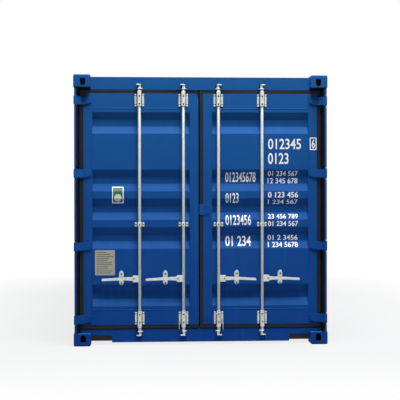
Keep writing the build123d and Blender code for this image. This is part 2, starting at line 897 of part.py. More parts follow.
def handle(x):
    """A handle: a flat bar with a round root on the hub's pin, level on its shelf, with a drooping grip."""
    pivot = x + handle_pivot_offset
    near = x + retainer_offset - retainer_shelf_width / 2
    far = x + retainer_offset + retainer_shelf_width / 2
    tip = x + handle_length - handle_grip / 2
    waist = handle_waist / 2
    grip = handle_grip / 2
    outline = [
        (pivot, handle_root_radius),
        (near, waist),
        (far, waist),
        (tip, grip - handle_droop),
        (tip, -grip - handle_droop),
        (far, -waist),
        (near, -waist),
        (pivot, -handle_root_radius),
    ]
    lever = make_face(Polyline(*outline, close=True))
    lever += Pos(pivot, 0) * Circle(handle_root_radius) + Pos(tip, -handle_droop) * Circle(grip)
    lever -= Pos(pivot, 0) * Circle(handle_pin_radius + handle_pin_clearance)
    plane = Plane((0, bar_line, handle_height), x_dir=(1, 0, 0), z_dir=(0, -1, 0))
    return extrude(plane * lever, handle_thickness / 2, both=True)


def handle_retainer(x):
    """The oval plate behind a handle, with the shelf that it rests on and the post of its catch."""
    place = x + retainer_offset
    face = door_plane - retainer_plate
    centre = (place, door_plane, handle_height + retainer_above_handle)
    oval = SlotOverall(retainer_height, retainer_width, rotation=90)
    body = extrude(Plane(centre, x_dir=(1, 0, 0), z_dir=(0, -1, 0)) * oval, retainer_plate)
    half = retainer_shelf_width / 2
    shelf_top = handle_height - handle_waist / 2 - retainer_seat_gap
    shelf_z = (shelf_top - retainer_shelf, shelf_top)
    body += block((place - half, place + half), (face - retainer_shelf_reach, face), shelf_z)
    pivot = handle_height + catch_above_handle
    catch_back = bar_line - handle_thickness / 2 - catch_clearance
    post_front = catch_back + retainer_seat_gap
    half = catch_post / 2
    body += block((place - half, place + half), (post_front, face), (pivot - half, pivot + half))
    return body + across(catch_pin_radius, place, pivot, (catch_back - catch_plate, post_front))


def handle_catch(x):
    """The catch that swivels down in front of a handle, parked here pointing up."""
    place = x + retainer_offset
    pivot = handle_height + catch_above_handle
    back = bar_line - handle_thickness / 2 - catch_clearance
    half = catch_width / 2
    y_span = (back - catch_plate, back)
    body = block((place - half, place + half), y_span, (pivot - half, pivot - half + catch_length))
    body = chamfer(body.edges().filter_by(Axis.Y), catch_corner)
    return body - across(catch_pin_radius + handle_pin_clearance, place, pivot, y_span)


def lap_cover():
    """The plate on the right leaf that covers the joint between the leaves."""
    low = leaf_bottom + lap_plate_rise
    x_span = (lap_plate_clearance - leaf_inner, lap_plate_right)
    return block(x_span, (door_plane - lap_plate, door_plane), (low, low + lap_plate_height))


def write_frame():
    """Everything that stands still."""
    bottom = four_castings()
    top = [mirror(casting, about=Plane.XY.offset(height / 2)) for casting in bottom]
    save("castings_bottom", bottom)
    save("castings_top", top)
    save("rear_corner_posts", both_sides([rear_post()]))
    save("front_corner_posts", both_sides([front_post()]))
    save("hinge_brackets", both_sides([hinge_bracket(centre) for centre in hinge_centres()]))
    save("door_header", [header()])
    save("header_fillers", both_sides([header_filler()]))
    save("door_sill", [sill()])
    save("cam_keepers", both_sides(keepers()))
    save("top_side_rails", both_sides([top_side_rail()]))
    save("front_top_rail", [front_top_rail()])
    save("front_bottom_rail", [front_bottom_rail()])
    save("bottom_side_rails", both_sides([bottom_side_rail()]))
    wall = side_wall()
    save("side_wall_right", [wall])
    save("side_wall_left", [mirrored(wall)])
    save("front_wall", [front_wall()])
    save("roof_panel", [roof()])
    plate = roof_corner_plate()
    save("roof_corner_plates", both_sides([plate, mirror(plate, about=Plane.XZ)]))
    save("floor_boards", floor_boards())
    save("cross_members", cross_members())
    save("fork_pocket_sides", fork_pocket_sides())
    save("fork_pocket_plates", fork_pocket_plates())


def write_doors():
    """Both leaves and what is fixed to them. The left one is the mirror image of the right."""
    frame = leaf_frame()
    save("right_door_frame", [frame])
    save("left_door_frame", [mirrored(frame - leaf_corner((door_plane, door_plane + leaf_thickness)))])
    right = {
        "panel": [leaf_panel()],
        "hinge_blades": [hinge_blade(centre) for centre in hinge_centres()],
        "bar_brackets": bar_brackets(),
        "handle_retainers": [handle_retainer(x) for x in bar_places],
    }
    for name, solids in right.items():
        save("right_door_" + name, solids)
        save("left_door_" + name, [mirrored(solid) for solid in solids])
    save("right_door_seal", [leaf_seal(leaf_gap - seal_meeting_clearance)])
    save("left_door_seal", [mirrored(leaf_seal(0) + leaf_corner(seal_span()))])
    save("door_lap_plate", [lap_cover()])


def write_locks():
    """The bars, handles and catches, numbered from the left as seen from outside."""
    makers = {"lock_bar": lock_bar, "handle": handle, "catch": handle_catch}
    for name, make in makers.items():
        for index, x in enumerate(bar_places):
            solid = make(x)
            save(name + "_" + str(3 + index), [solid])
            save(name + "_" + str(2 - index), [mirrored(solid)])


os.makedirs("parts", exist_ok=True)
write_frame()
write_doors()
write_locks()
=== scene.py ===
# %% [markdown]
# # The door end of a twenty foot steel container
# The welded body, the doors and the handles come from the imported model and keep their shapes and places.
# This lesson gives them light, paint and zinc, shapes bars, keepers, brackets and catches in more detail,
# and adds the thin things that a solid model leaves out: seal lips, weld beads, bolt heads, white figures,
# a data plate and a sticker. All lengths are in metres, X runs across the doors, Y along the container and
# Z up.

import bmesh
import bpy
import numpy as np
from mathutils import Matrix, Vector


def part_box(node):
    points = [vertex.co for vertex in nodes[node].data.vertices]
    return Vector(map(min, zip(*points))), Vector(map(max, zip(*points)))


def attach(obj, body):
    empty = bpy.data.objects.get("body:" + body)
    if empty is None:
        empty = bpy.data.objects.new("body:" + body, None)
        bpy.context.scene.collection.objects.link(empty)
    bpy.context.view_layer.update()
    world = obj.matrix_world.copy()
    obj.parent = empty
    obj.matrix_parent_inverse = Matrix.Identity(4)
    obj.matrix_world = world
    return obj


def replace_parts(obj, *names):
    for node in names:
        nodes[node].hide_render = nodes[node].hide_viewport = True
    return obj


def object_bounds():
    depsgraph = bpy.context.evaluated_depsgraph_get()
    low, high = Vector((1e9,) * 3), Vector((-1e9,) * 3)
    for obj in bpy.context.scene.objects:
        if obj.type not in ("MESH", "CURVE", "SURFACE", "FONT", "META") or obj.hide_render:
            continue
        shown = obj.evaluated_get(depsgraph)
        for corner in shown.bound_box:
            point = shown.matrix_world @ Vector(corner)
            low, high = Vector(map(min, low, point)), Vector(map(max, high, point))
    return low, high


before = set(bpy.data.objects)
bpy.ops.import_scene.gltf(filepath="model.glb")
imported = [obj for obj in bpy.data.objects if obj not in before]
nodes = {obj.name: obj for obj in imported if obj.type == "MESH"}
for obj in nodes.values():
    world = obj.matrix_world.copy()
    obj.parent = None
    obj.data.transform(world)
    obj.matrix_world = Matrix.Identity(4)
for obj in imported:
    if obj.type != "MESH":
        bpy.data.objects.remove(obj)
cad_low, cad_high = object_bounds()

print("nodes", len(nodes), "size", [round(high - low, 3) for low, high in zip(cad_low, cad_high)])

# %% [markdown]
# ## The camera
# A camera could be aimed by eye, but the four corner castings are a better guide: their real size is known,
# so a least squares fit of their corners gives the place, the turn and the lens. The right side stands a
# little further away than the left one, which is why the camera is left of the middle and turned to the
# right.

# %% Camera
CAMERA_PLACE = (-0.6427, -13.529, 1.4718)
CAMERA_YAW, CAMERA_PITCH, CAMERA_ROLL = np.radians([-3.4290, -0.4291, -0.0839])
CAMERA_LENS = 99.0


def camera_axes(yaw, pitch, roll):
    """Right, up and backward: yaw turns the view about Z, pitch lifts it, and roll turns right towards up."""
    forward = np.array([-np.sin(yaw) * np.cos(pitch), np.cos(yaw) * np.cos(pitch), np.sin(pitch)])
    level = np.array([np.cos(yaw), np.sin(yaw), 0.0])
    above = np.cross(level, forward)
    right = np.cos(roll) * level + np.sin(roll) * above
    up = np.cos(roll) * above - np.sin(roll) * level
    return np.stack([right, up, -forward], axis=1)


lens = bpy.data.cameras.new("camera")
camera = bpy.data.objects.new("camera", lens)
bpy.context.scene.collection.objects.link(camera)
bpy.context.scene.camera = camera
lens.sensor_fit = "HORIZONTAL"
lens.sensor_width = 36.0
lens.lens = CAMERA_LENS
placing = np.eye(4)
placing[:3, :3] = camera_axes(CAMERA_YAW, CAMERA_PITCH, CAMERA_ROLL)
placing[:3, 3] = CAMERA_PLACE
camera.matrix_world = Matrix(placing.tolist())
print("camera", CAMERA_PLACE, "lens", CAMERA_LENS)

# %% [markdown]
# ## Colours and nodes
# A colour picked from a screen is an sRGB value, and a shader works with linear light, so each hex value
# goes through one function. A second small function adds a node with its settings and links, which keeps a
# material as short as its description. Most finishes end in the same way, with a colour, a roughness and a
# bump, so another one makes those links.

# %% Colour and node helpers
def colour(hex_value):
    """sRGB hex to linear: v / 12.92 up to 0.04045, and ((v + 0.055) / 1.055) ** 2.4 above it."""
    value = np.array([int(hex_value[i:i + 2], 16) for i in (1, 3, 5)]) / 255
    linear = np.where(value <= 0.04045, value / 12.92, ((value + 0.055) / 1.055) ** 2.4)
    return (*linear.tolist(), 1.0)


def feed(tree, node, inputs):
    """Each input gets a value, or a link from a socket or from the first output of another node."""
    for name, value in inputs.items():
        source = value.outputs[0] if isinstance(value, bpy.types.Node) else value
        if isinstance(source, bpy.types.NodeSocket):
            tree.links.new(source, node.inputs[name])
        else:
            node.inputs[name].default_value = source


def add(tree, kind, inputs, **settings):
    """Adds a node: its settings first, then its inputs."""
    node = tree.nodes.new("ShaderNode" + kind)
    for name, value in settings.items():
        setattr(node, name, value)
    feed(tree, node, inputs)
    return node


def start_material(name):
    """A new material, its node tree, its surface shader and the place on the object."""
    material = bpy.data.materials.new(name)
    material.use_nodes = True
    tree = material.node_tree
    return material, tree, tree.nodes["Principled BSDF"], add(tree, "TexCoord", {}).outputs["Object"]


def surface(tree, shader, tone, dark, light, grain, dull, relief, depth):
    """Colour goes from dark to light with tone, roughness over a range with grain, the bump with relief."""
    base = add(tree, "Mix", {0: tone, 6: colour(dark), 7: colour(light)}, data_type="RGBA").outputs[2]
    sheen = add(tree, "MapRange", {"Value": grain, "To Min": dull[0], "To Max": dull[1]})
    skin = add(tree, "Bump", {"Height": relief, "Distance": depth})
    feed(tree, shader, {"Base Color": base, "Roughness": sheen, "Normal": skin})
    return skin


print("middle grey in linear light", [round(v, 3) for v in colour("#808080")])

# %% [markdown]
# ## Light
# The doors of a container in a yard are lit by the open sky from above and in front, so the slopes that
# face up are light and those that face down are dark. One broad lamp, high in front, does that, and an even
# white surround fills the rest. Two weaker lamps behind keep the other sides readable. The background is
# white by the world's own colour for rays that go straight to the camera or by way of a shiny surface, not
# by more light.

# %% World
WHITE = (1.0, 1.0, 1.0, 1.0)
SURROUND_TINT, SURROUND_STRENGTH = "#EEF3FA", 0.21


def background_rays(tree):
    """1 for rays that show the background: straight to the camera, or by way of a shiny or clear surface."""
    rays = add(tree, "LightPath", {}).outputs
    shiny = add(tree, "Math", {0: rays["Is Camera Ray"], 1: rays["Is Glossy Ray"]}, operation="MAXIMUM")
    return add(tree, "Math", {0: shiny, 1: rays["Is Transmission Ray"]}, operation="MAXIMUM")


world = bpy.data.worlds.new("studio")
bpy.context.scene.world = world
world.use_nodes = True
tree = world.node_tree
tree.nodes.clear()
seen = background_rays(tree)
surround = add(tree, "Background", {"Color": colour(SURROUND_TINT), "Strength": SURROUND_STRENGTH})
white = add(tree, "Background", {"Color": WHITE, "Strength": 1.0})
add(tree, "OutputWorld", {"Surface": add(tree, "MixShader", {0: seen, 1: surround, 2: white})})
bpy.context.scene.view_settings.view_transform = "Standard"
print("world", world.name)

# %% Lamps
def lamp(name, place, target, size, power):
    """A square area lamp at a place, turned so that its face looks at the target."""
    data = bpy.data.lights.new(name, "AREA")
    data.shape = "SQUARE"
    data.size = size
    data.energy = power
    light = bpy.data.objects.new(name, data)
    bpy.context.scene.collection.objects.link(light)
    aim = np.subtract(place, target)
    back = aim / np.linalg.norm(aim)
    side = np.cross([0.0, 0.0, 1.0], back)
    side /= np.linalg.norm(side)
    turn = np.eye(4)
    turn[:3, :3] = np.stack([side, np.cross(back, side), back], axis=1)
    turn[:3, 3] = place
    light.matrix_world = Matrix(turn.tolist())
    print(name, "power", power, "distance", round(float(np.linalg.norm(aim)), 2))


DOOR_MIDDLE, BODY_MIDDLE = (0.0, -3.0, 1.3), (0.0, 0.0, 1.3)
KEY_PLACE, KEY_SIZE, KEY_POWER = (0.6, -5.5, 9.5), 3.2, 1310
FILL_SIZE, FILL_POWER = 6.0, 760
lamp("key", KEY_PLACE, DOOR_MIDDLE, KEY_SIZE, KEY_POWER)
lamp("fill_left", (-9.5, 8.5, 8.5), BODY_MIDDLE, FILL_SIZE, FILL_POWER)
lamp("fill_right", (9.5, 8.5, 8.5), BODY_MIDDLE, FILL_SIZE, FILL_POWER)

# %% [markdown]
# ## Surfaces as arrays
# Every new piece is a sheet of points worked out at once with numpy. A shape here is a pair: an array of
# points, and blocks of faces that all have the same number of corners. Three makers are enough for this
# object: a grid, a turned shape, and a profile carried along a path. Copies and unions are sums on whole
# arrays.

# %% Shape helpers
def grid_faces(rows, columns, close_rows=False, close_columns=False):
    """Quads (i, j), (i, j + 1), (i + 1, j + 1), (i + 1, j), counted round where a side is closed."""
    i = np.arange(rows if close_rows else rows - 1)[:, None]
    j = np.arange(columns if close_columns else columns - 1)[None, :]
    row, next_row, beside = i * columns, (i + 1) % rows * columns, (j + 1) % columns
    corners = np.broadcast_arrays(row + j, row + beside, next_row + beside, next_row + j)
    return np.stack(corners, axis=-1).reshape(-1, 4)


def turned(rings, sides, axis):
    """Point = height * axis + radius * (cos a * u + sin a * v), with u and v square to the axis."""
    axis = np.asarray(axis, float)
    u = np.cross(axis, [0.0, 0.0, 1.0]) if abs(axis[2]) < 0.9 else np.array([1.0, 0.0, 0.0])
    u = u / np.linalg.norm(u)
    v = np.cross(axis, u)
    angle = np.arange(sides) * 2 * np.pi / sides
    circle = np.cos(angle)[:, None] * u + np.sin(angle)[:, None] * v
    radius, height = np.array(rings, float).T
    points = radius[:, None, None] * circle + height[:, None, None] * axis
    count = len(rings)
    bottom = np.arange(sides)[::-1][None, :]
    top = (np.arange(sides) + (count - 1) * sides)[None, :]
    return points.reshape(-1, 3), [grid_faces(count, sides, close_columns=True), bottom, top]


def sweep(path, front, profile, closed=False, swell=None):
    """Point = path + a * out + b * front for each (a, b) of the profile, where out = travel x front.

    At a bend, out is (out1 + out2) / (1 + out1 . out2), which mitres the corner. Swell makes the profile
    larger or smaller along the way.
    """
    path = np.asarray(path, float)
    front = np.broadcast_to(np.asarray(front, float), path.shape)
    travel = np.roll(path, -1, axis=0) - path
    if not closed:
        travel[-1] = travel[-2]
    travel /= np.linalg.norm(travel, axis=1, keepdims=True)
    after = np.cross(travel, front)
    before = np.roll(after, 1, axis=0)
    if not closed:
        before[0] = after[0]
    out = (before + after) / (1 + (before * after).sum(axis=1, keepdims=True))
    profile = np.asarray(profile, float)
    scale = np.ones(len(path)) if swell is None else np.asarray(swell, float)
    offset = profile[None, :, :1] * out[:, None] + profile[None, :, 1:] * front[:, None]
    points = path[:, None] + offset * scale[:, None, None]
    rows, columns = points.shape[:2]
    blocks = [grid_faces(rows, columns, close_rows=closed, close_columns=True)]
    if not closed:
        blocks.append(np.arange(columns)[::-1][None, :])
        blocks.append((np.arange(columns) + (rows - 1) * columns)[None, :])
    return points.reshape(-1, 3), blocks


def joined(shapes):
    """One shape from many: the corner numbers of each shape go up by the points that come before it."""
    starts = np.cumsum([0] + [len(points) for points, _ in shapes])[:-1]
    blocks = [block + start for start, (_, parts) in zip(starts, shapes) for block in parts]
    return np.concatenate([points for points, _ in shapes]), blocks


def repeated(shape, places):
    """Copies of a shape: each place is added to all its points, and each copy's corner numbers follow on."""
    points, blocks = shape
    places = np.asarray(places, float).reshape(-1, 3)
    steps = np.arange(len(places))[:, None, None] * len(points)
    moved = (points[None] + places[:, None]).reshape(-1, 3)
    return moved, [(block[None] + steps).reshape(-1, block.shape[1]) for block in blocks]


def piece(name, shape, body, finish, smooth=False):
    """A mesh object from a shape, with its finish, that rides on a body."""
    points, blocks = shape
    counts = np.concatenate([np.full(len(block), block.shape[1]) for block in blocks])
    corners = np.concatenate([block.ravel() for block in blocks])
    mesh = bpy.data.meshes.new(name)
    mesh.vertices.add(len(points))
    mesh.vertices.foreach_set("co", points.ravel())
    mesh.loops.add(len(corners))
    mesh.loops.foreach_set("vertex_index", corners)
    mesh.polygons.add(len(counts))
    mesh.polygons.foreach_set("loop_start", np.cumsum(counts) - counts)
    mesh.polygons.foreach_set("use_smooth", np.full(len(counts), smooth))
    mesh.update(calc_edges=True)
    mesh.validate()
    made = bpy.data.objects.new(name, mesh)
    bpy.context.scene.collection.objects.link(made)
    mesh.materials.append(finish)
    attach(made, body)
    print(name, "faces", len(counts), "on", body)
    return made


# %% [markdown]
# ## The floor
# The floor is a large plain pale sheet. It has to read as the white background and still hold the
# container's shadow, so straight to the camera it is part white by its own colour and part lit surface.

# %% Floor
FLOOR_HALF = 70.0
CONTAINER_HALF = (1.22, 3.03, 0.0)
SHADOW_REACH, WHITE_SHARE = 3.5, 0.8

material, tree, shader, place = start_material("pale_studio_floor")
feed(tree, shader, {"Base Color": colour("#9DA0A4"), "Roughness": 0.9, "Specular IOR Level": 0.1})
seen = background_rays(tree)
reach = add(tree, "VectorMath", {0: place}, operation="ABSOLUTE")
reach = add(tree, "VectorMath", {0: reach, 1: CONTAINER_HALF}, operation="SUBTRACT")
reach = add(tree, "VectorMath", {0: reach, 1: (0.0, 0.0, 0.0)}, operation="MAXIMUM")
away = add(tree, "VectorMath", {0: reach}, operation="LENGTH").outputs["Value"]
rise = {"Value": away, "From Max": SHADOW_REACH, "To Min": WHITE_SHARE, "To Max": 1.0}
whiter = add(tree, "MapRange", rise, interpolation_type="SMOOTHSTEP")
share = add(tree, "Math", {0: seen, 1: whiter}, operation="MULTIPLY")
glow = add(tree, "Emission", {"Color": WHITE, "Strength": 1.0})
mixed = add(tree, "MixShader", {0: share, 1: shader, 2: glow})
feed(tree, tree.nodes["Material Output"], {"Surface": mixed})
corners = [(x * FLOOR_HALF, y * FLOOR_HALF, 0) for x, y in ((-1, -1), (1, -1), (1, 1), (-1, 1))]
floor_mesh = bpy.data.meshes.new("studio_floor")
floor_mesh.from_pydata(corners, [], [(0, 1, 2, 3)])
floor_mesh.materials.append(material)
studio_floor = bpy.data.objects.new("studio_floor", floor_mesh)
bpy.context.scene.collection.objects.link(studio_floor)
print("floor", FLOOR_HALF * 2, "m square")

# %% [markdown]
# ## Container paint
# A new container has a two-pack topcoat sprayed over zinc primer on weathering steel. It dries to a satin
# film with a faint orange peel, and thin sheet under it is never quite flat. Real orange peel is about 2 mm
# across, which no pixel here can show, so it is drawn 14 mm wide. Tone drifts slowly over the sheets, rain
# leaves weak upright streaks, and the Bevel node gives each fold and edge the small round that a rolled
# sheet has.

# %% Container paint
ORANGE_PEEL = 1 / 0.014
SHEET_WAVE = 1 / 0.45
TONE_PATCH = 1 / 0.6
STREAK, STREAK_SHARE = 1 / 0.05, 0.12
FOLD_ROUND = 0.004
BLUES, PEEL_DEPTH, SATIN = ("#093E87", "#0B4390"), 0.0004, 0.58
# Of these three the dust is real; the greyer blue is painted sheen for light from above, the near black
# painted shade.
DUST, SHEEN_BLUE, SHADE_BLACK = "#4C6C94", "#1F5E92", "#0C0F16"
SHEEN_AT_TOP, SHEEN_ON_LEDGES = 0.55, 0.62


def paint(name, dark, light, peel_depth, roughness, round_radius, painted_shade=None):
    """A sprayed satin film: tone between two blues, weak streaks, a fine peel and a slow wave in the sheet.

    A lighter, greyer blue comes in with height and where the face looks up, painted sheen for light from
    above: share = the greater of 0.55 z / 2.6 and a ramp on the normal's z. The last argument, if given, is
    a function that gives the share of a near black painted as shade at a place.
    """
    material, tree, shader, place = start_material(name)
    level = add(tree, "SeparateXYZ", {0: place}).outputs[2]
    patch = add(tree, "TexNoise", {"Vector": place, "Scale": TONE_PATCH, "Detail": 5.0, "Roughness": 0.6})
    tone = add(tree, "MapRange", {"Value": patch, "From Min": 0.3, "From Max": 0.7})
    film = add(tree, "Mix", {0: tone, 6: colour(dark), 7: colour(light)}, data_type="RGBA")
    tall = add(tree, "Mapping", {"Vector": place, "Scale": (STREAK, STREAK, 1.2)})
    rain = add(tree, "TexNoise", {"Vector": tall, "Scale": 1.0, "Detail": 3.0})
    weak = add(tree, "MapRange", {"Value": rain, "From Min": 0.55, "From Max": 0.8, "To Max": STREAK_SHARE})
    # Painted sheen: the greyer blue rises with height and on faces that look up, standing in for light from
    # above.
    height = add(tree, "MapRange", {"Value": level, "From Max": 2.6, "To Max": SHEEN_AT_TOP})
    up = add(tree, "SeparateXYZ", {0: add(tree, "NewGeometry", {}).outputs["Normal"]}).outputs[2]
    lit_ledge = add(tree, "MapRange", {"Value": up, "From Min": 0.3, "From Max": 0.6, "To Max": SHEEN_ON_LEDGES})
    painted_sheen = add(tree, "Math", {0: height, 1: lit_ledge}, operation="MAXIMUM")
    layers = [(weak, DUST), (painted_sheen, SHEEN_BLUE)] + ([(painted_shade(tree, place), SHADE_BLACK)] if painted_shade else [])
    for share, tint in layers:
        film = add(tree, "Mix", {0: share, 6: film.outputs[2], 7: colour(tint)}, data_type="RGBA")
    sheen = add(tree, "MapRange", {"Value": patch, "To Min": roughness - 0.05, "To Max": roughness + 0.08})
    edge = add(tree, "Bevel", {"Radius": round_radius}, samples=4)
    wave = add(tree, "TexNoise", {"Vector": place, "Scale": SHEET_WAVE, "Detail": 1.0})
    slow = add(tree, "Bump", {"Height": wave, "Distance": 0.02, "Strength": 0.25, "Normal": edge})
    peel = add(tree, "TexNoise", {"Vector": place, "Scale": ORANGE_PEEL, "Detail": 1.0})
    fine = add(tree, "Bump", {"Height": peel, "Distance": peel_depth, "Normal": slow})
    feed(tree, shader, {"Base Color": film.outputs[2], "Roughness": sheen, "Normal": fine})
    feed(tree, shader, {"Specular IOR Level": 0.08})
    return material


container_paint = paint("satin_topcoat_on_sheet", *BLUES, PEEL_DEPTH, SATIN, FOLD_ROUND)
print(container_paint.name)

# %% [markdown]
# The inner step of the rear posts lies behind the hinges, in the gap beside the doors. Inside a given
# distance from the middle the film gives way to a near black, painted as the shade of that deep gap.

# %% Post paint
POST_STEP = 1.192


def shaded_post_step(tree, place):
    """1 where |x| is less than the edge of the step."""
    across = add(tree, "Math", {0: add(tree, "SeparateXYZ", {0: place})}, operation="ABSOLUTE")
    return add(tree, "Math", {0: across, 1: POST_STEP}, operation="LESS_THAN")


# The rear posts' paint takes a near black inside the step as painted shade.
post_paint = paint("topcoat_on_rear_posts", *BLUES, PEEL_DEPTH, SATIN, FOLD_ROUND, shaded_post_step)
print(post_paint.name)

# %% [markdown]
# ## Painted cast steel
# The eight corner castings are poured in sand, shot blasted and sprayed with the rest. The paint is the
# same, but the skin under it is coarser, so the bump is deeper, the edges are rounder and the sheen is
# flatter. Inside the holes, below the outer few millimetres, the film gives way to a near black painted as
# shade.

# %% Casting paint
CASTING_MIDDLE = (1.138, 2.940, 0.059)
CASTING_HALF = (0.081, 0.089, 0.059)
CASTING_SKIN = 0.006


def shaded_casting_hollows(tree, place):
    """1 where the depth is more than the skin's: depth = the least of half - |p - middle| over X, Y and Z.

    The eight castings are folded onto one: x and y lose their sign, and z is counted from the nearer end.
    """
    x, y, z = add(tree, "SeparateXYZ", {0: place}).outputs
    above = add(tree, "Math", {0: float(cad_high[2]), 1: z}, operation="SUBTRACT")
    nearer = add(tree, "Math", {0: z, 1: above}, operation="MINIMUM")
    folded = add(tree, "CombineXYZ", {0: x, 1: y, 2: nearer})
    folded = add(tree, "VectorMath", {0: folded}, operation="ABSOLUTE")
    offset = add(tree, "VectorMath", {0: folded, 1: CASTING_MIDDLE}, operation="SUBTRACT")
    offset = add(tree, "VectorMath", {0: offset}, operation="ABSOLUTE")
    inward = add(tree, "VectorMath", {0: CASTING_HALF, 1: offset}, operation="SUBTRACT")
    x, y, z = add(tree, "SeparateXYZ", {0: inward}).outputs
    least = add(tree, "Math", {0: x, 1: y}, operation="MINIMUM")
    least = add(tree, "Math", {0: least, 1: z}, operation="MINIMUM")
    return add(tree, "Math", {0: least, 1: CASTING_SKIN}, operation="GREATER_THAN")


casting_paint = paint("topcoat_on_cast_steel", "#093A81", "#0B408B", peel_depth=0.0012, roughness=0.62,
                      round_radius=0.006, painted_shade=shaded_casting_hollows)
print(casting_paint.name)

# %% [markdown]
# ## Hot dip galvanised steel
# Bars, brackets, handles and catches are dipped in molten zinc. It freezes in flat crystals, the spangle, 5
# to 20 mm across. Each crystal reflects a little differently, so cells of a Voronoi texture change tone and
# roughness. They are drawn 18 mm wide, the coarse end of the real range, so that they show. Pressed plate
# comes out of the bath brighter than drawn tube, so there are two tones.

# %% Galvanised steel
SPANGLE, RUN = 1 / 0.018, 1 / 0.03


def zinc(name, dark, light):
    """Crystals between two greys, each with its own roughness, under a skin with faint runs."""
    material, tree, shader, place = start_material(name)
    crystal = add(tree, "TexVoronoi", {"Vector": place, "Scale": SPANGLE})
    grey = add(tree, "SeparateColor", {"Color": crystal.outputs["Color"]}).outputs
    runs = add(tree, "TexNoise", {"Vector": place, "Scale": RUN, "Detail": 2.0})
    skin = surface(tree, shader, grey[0], dark, light, grey[1], (0.42, 0.52), runs, depth=0.0002)
    feed(tree, skin, {"Normal": add(tree, "Bevel", {"Radius": 0.0025}, samples=4)})
    feed(tree, shader, {"Metallic": 0.5})
    print(name)
    return material


galvanised_steel = zinc("hot_dip_galvanised_tube", "#B2B8B8", "#C2C7C8")
bright_zinc = zinc("hot_dip_galvanised_plate", "#C3C9C3", "#D8DDD8")

# %% [markdown]
# ## Seal rubber
# The door seal is extruded EPDM, nearly black with a blue cast from the paint dust on it. It is matt, with
# fine lines along its length from the die, which show here only as a soft unevenness.

# %% Seal rubber
seal_rubber, tree, shader, place = start_material("extruded_epdm")
dust = add(tree, "TexNoise", {"Vector": place, "Scale": 1 / 0.09, "Detail": 4.0})
tone = add(tree, "MapRange", {"Value": dust, "From Min": 0.35, "From Max": 0.7})
grain = add(tree, "TexNoise", {"Vector": place, "Scale": 1 / 0.006, "Detail": 2.0})
surface(tree, shader, tone, "#0B0E15", "#151A24", dust, (0.5, 0.72), grain, depth=0.0005)
feed(tree, shader, {"Specular IOR Level": 0.25})
print(seal_rubber.name)

# %% [markdown]
# ## Plywood floor
# The floor is 28 mm tropical plywood, laid with its face grain along the container. The grain is noise that
# is pulled out twenty times along Y, red brown with darker pores, under a thin matt varnish.

# %% Floor plywood
floor_plywood, tree, shader, place = start_material("keruing_plywood")
drawn = add(tree, "Mapping", {"Vector": place, "Scale": (1 / 0.012, 1 / 0.25, 1 / 0.012)})
grain = add(tree, "TexNoise", {"Vector": drawn, "Scale": 1.0, "Detail": 5.0, "Distortion": 0.4})
tone = add(tree, "MapRange", {"Value": grain, "From Min": 0.3, "From Max": 0.7})
surface(tree, shader, tone, "#5A3522", "#8D5E3D", grain, (0.5, 0.7), grain, depth=0.0006)
print(floor_plywood.name)

# %% [markdown]
# ## Underside coating
# Below the floor the steel carries a thick waxy coating against spray from the road. It is black, sags a
# little and dries with a low sheen.

# %% Underside coating
underside_coating, tree, shader, place = start_material("waxy_underside_coating")
lumps = add(tree, "TexNoise", {"Vector": place, "Scale": 1 / 0.04, "Detail": 4.0})
surface(tree, shader, lumps, "#15171B", "#2B2E34", lumps, (0.4, 0.65), lumps, depth=0.002)
print(underside_coating.name)

# %% [markdown]
# ## Small finishes
# Bolts are phosphated and oiled, so they look dark on the zinc. The figures are cut from white cast vinyl,
# the sticker is green vinyl, and the data plate is brushed stainless steel with lines filled with black
# enamel. They share one maker, because each is one tone with grain, a roughness that drifts and a shallow
# bump.

# %% Small finishes
def small_finish(name, dark, light, grain_size, stretch=1, roughness=0.5, metallic=0.0, depth=0.0002):
    """Colour, roughness and height all follow one noise of a given grain size, stretched along X."""
    material, tree, shader, place = start_material(name)
    grains = (1 / (grain_size * stretch), 1 / grain_size, 1 / grain_size)
    drawn = add(tree, "Mapping", {"Vector": place, "Scale": grains})
    grain = add(tree, "TexNoise", {"Vector": drawn, "Scale": 1.0, "Detail": 3.0})
    surface(tree, shader, grain, dark, light, grain, (roughness - 0.08, roughness + 0.08), grain, depth)
    feed(tree, shader, {"Metallic": metallic})
    print(name)
    return material


phosphated_steel = small_finish("phosphated_bolt_steel", "#101216", "#1E2126", 0.01, roughness=0.55,
                                metallic=0.2, depth=0.0003)
white_vinyl = small_finish("white_cast_vinyl", "#E2E6EA", "#F7F9FB", 0.05, roughness=0.45)
green_vinyl = small_finish("green_cast_vinyl", "#175A3E", "#1E684B", 0.03)
deep_vinyl = small_finish("deep_green_cast_vinyl", "#0B2A20", "#11382B", 0.03)
cream_vinyl = small_finish("cream_cast_vinyl", "#BFC8B4", "#D2D9C6", 0.03)
stainless_plate = small_finish("brushed_stainless_steel", "#8F8C80", "#AAA79B", 0.004, stretch=15,
                               metallic=0.4, depth=0.0001)
black_enamel = small_finish("black_enamel_fill", "#121210", "#201F1B", 0.02, depth=0.0001)
# A near black for the thin strips and sheets that stand in the brackets' gaps as painted shade.
shade_strip_black = small_finish("black_strips_as_painted_shade", "#14161A", "#26292E", 0.01)
bead_paint = paint("topcoat_on_weld_beads", "#0A4085", "#0E448B", PEEL_DEPTH, roughness=0.5,
                   round_radius=0.001)

# %% [markdown]
# ## Finishes on the imported solids
# The solids keep their shapes. Only their material slots change, by the finish that the real part has,
# but the steel header fillers take the dark rubber as painted shade.

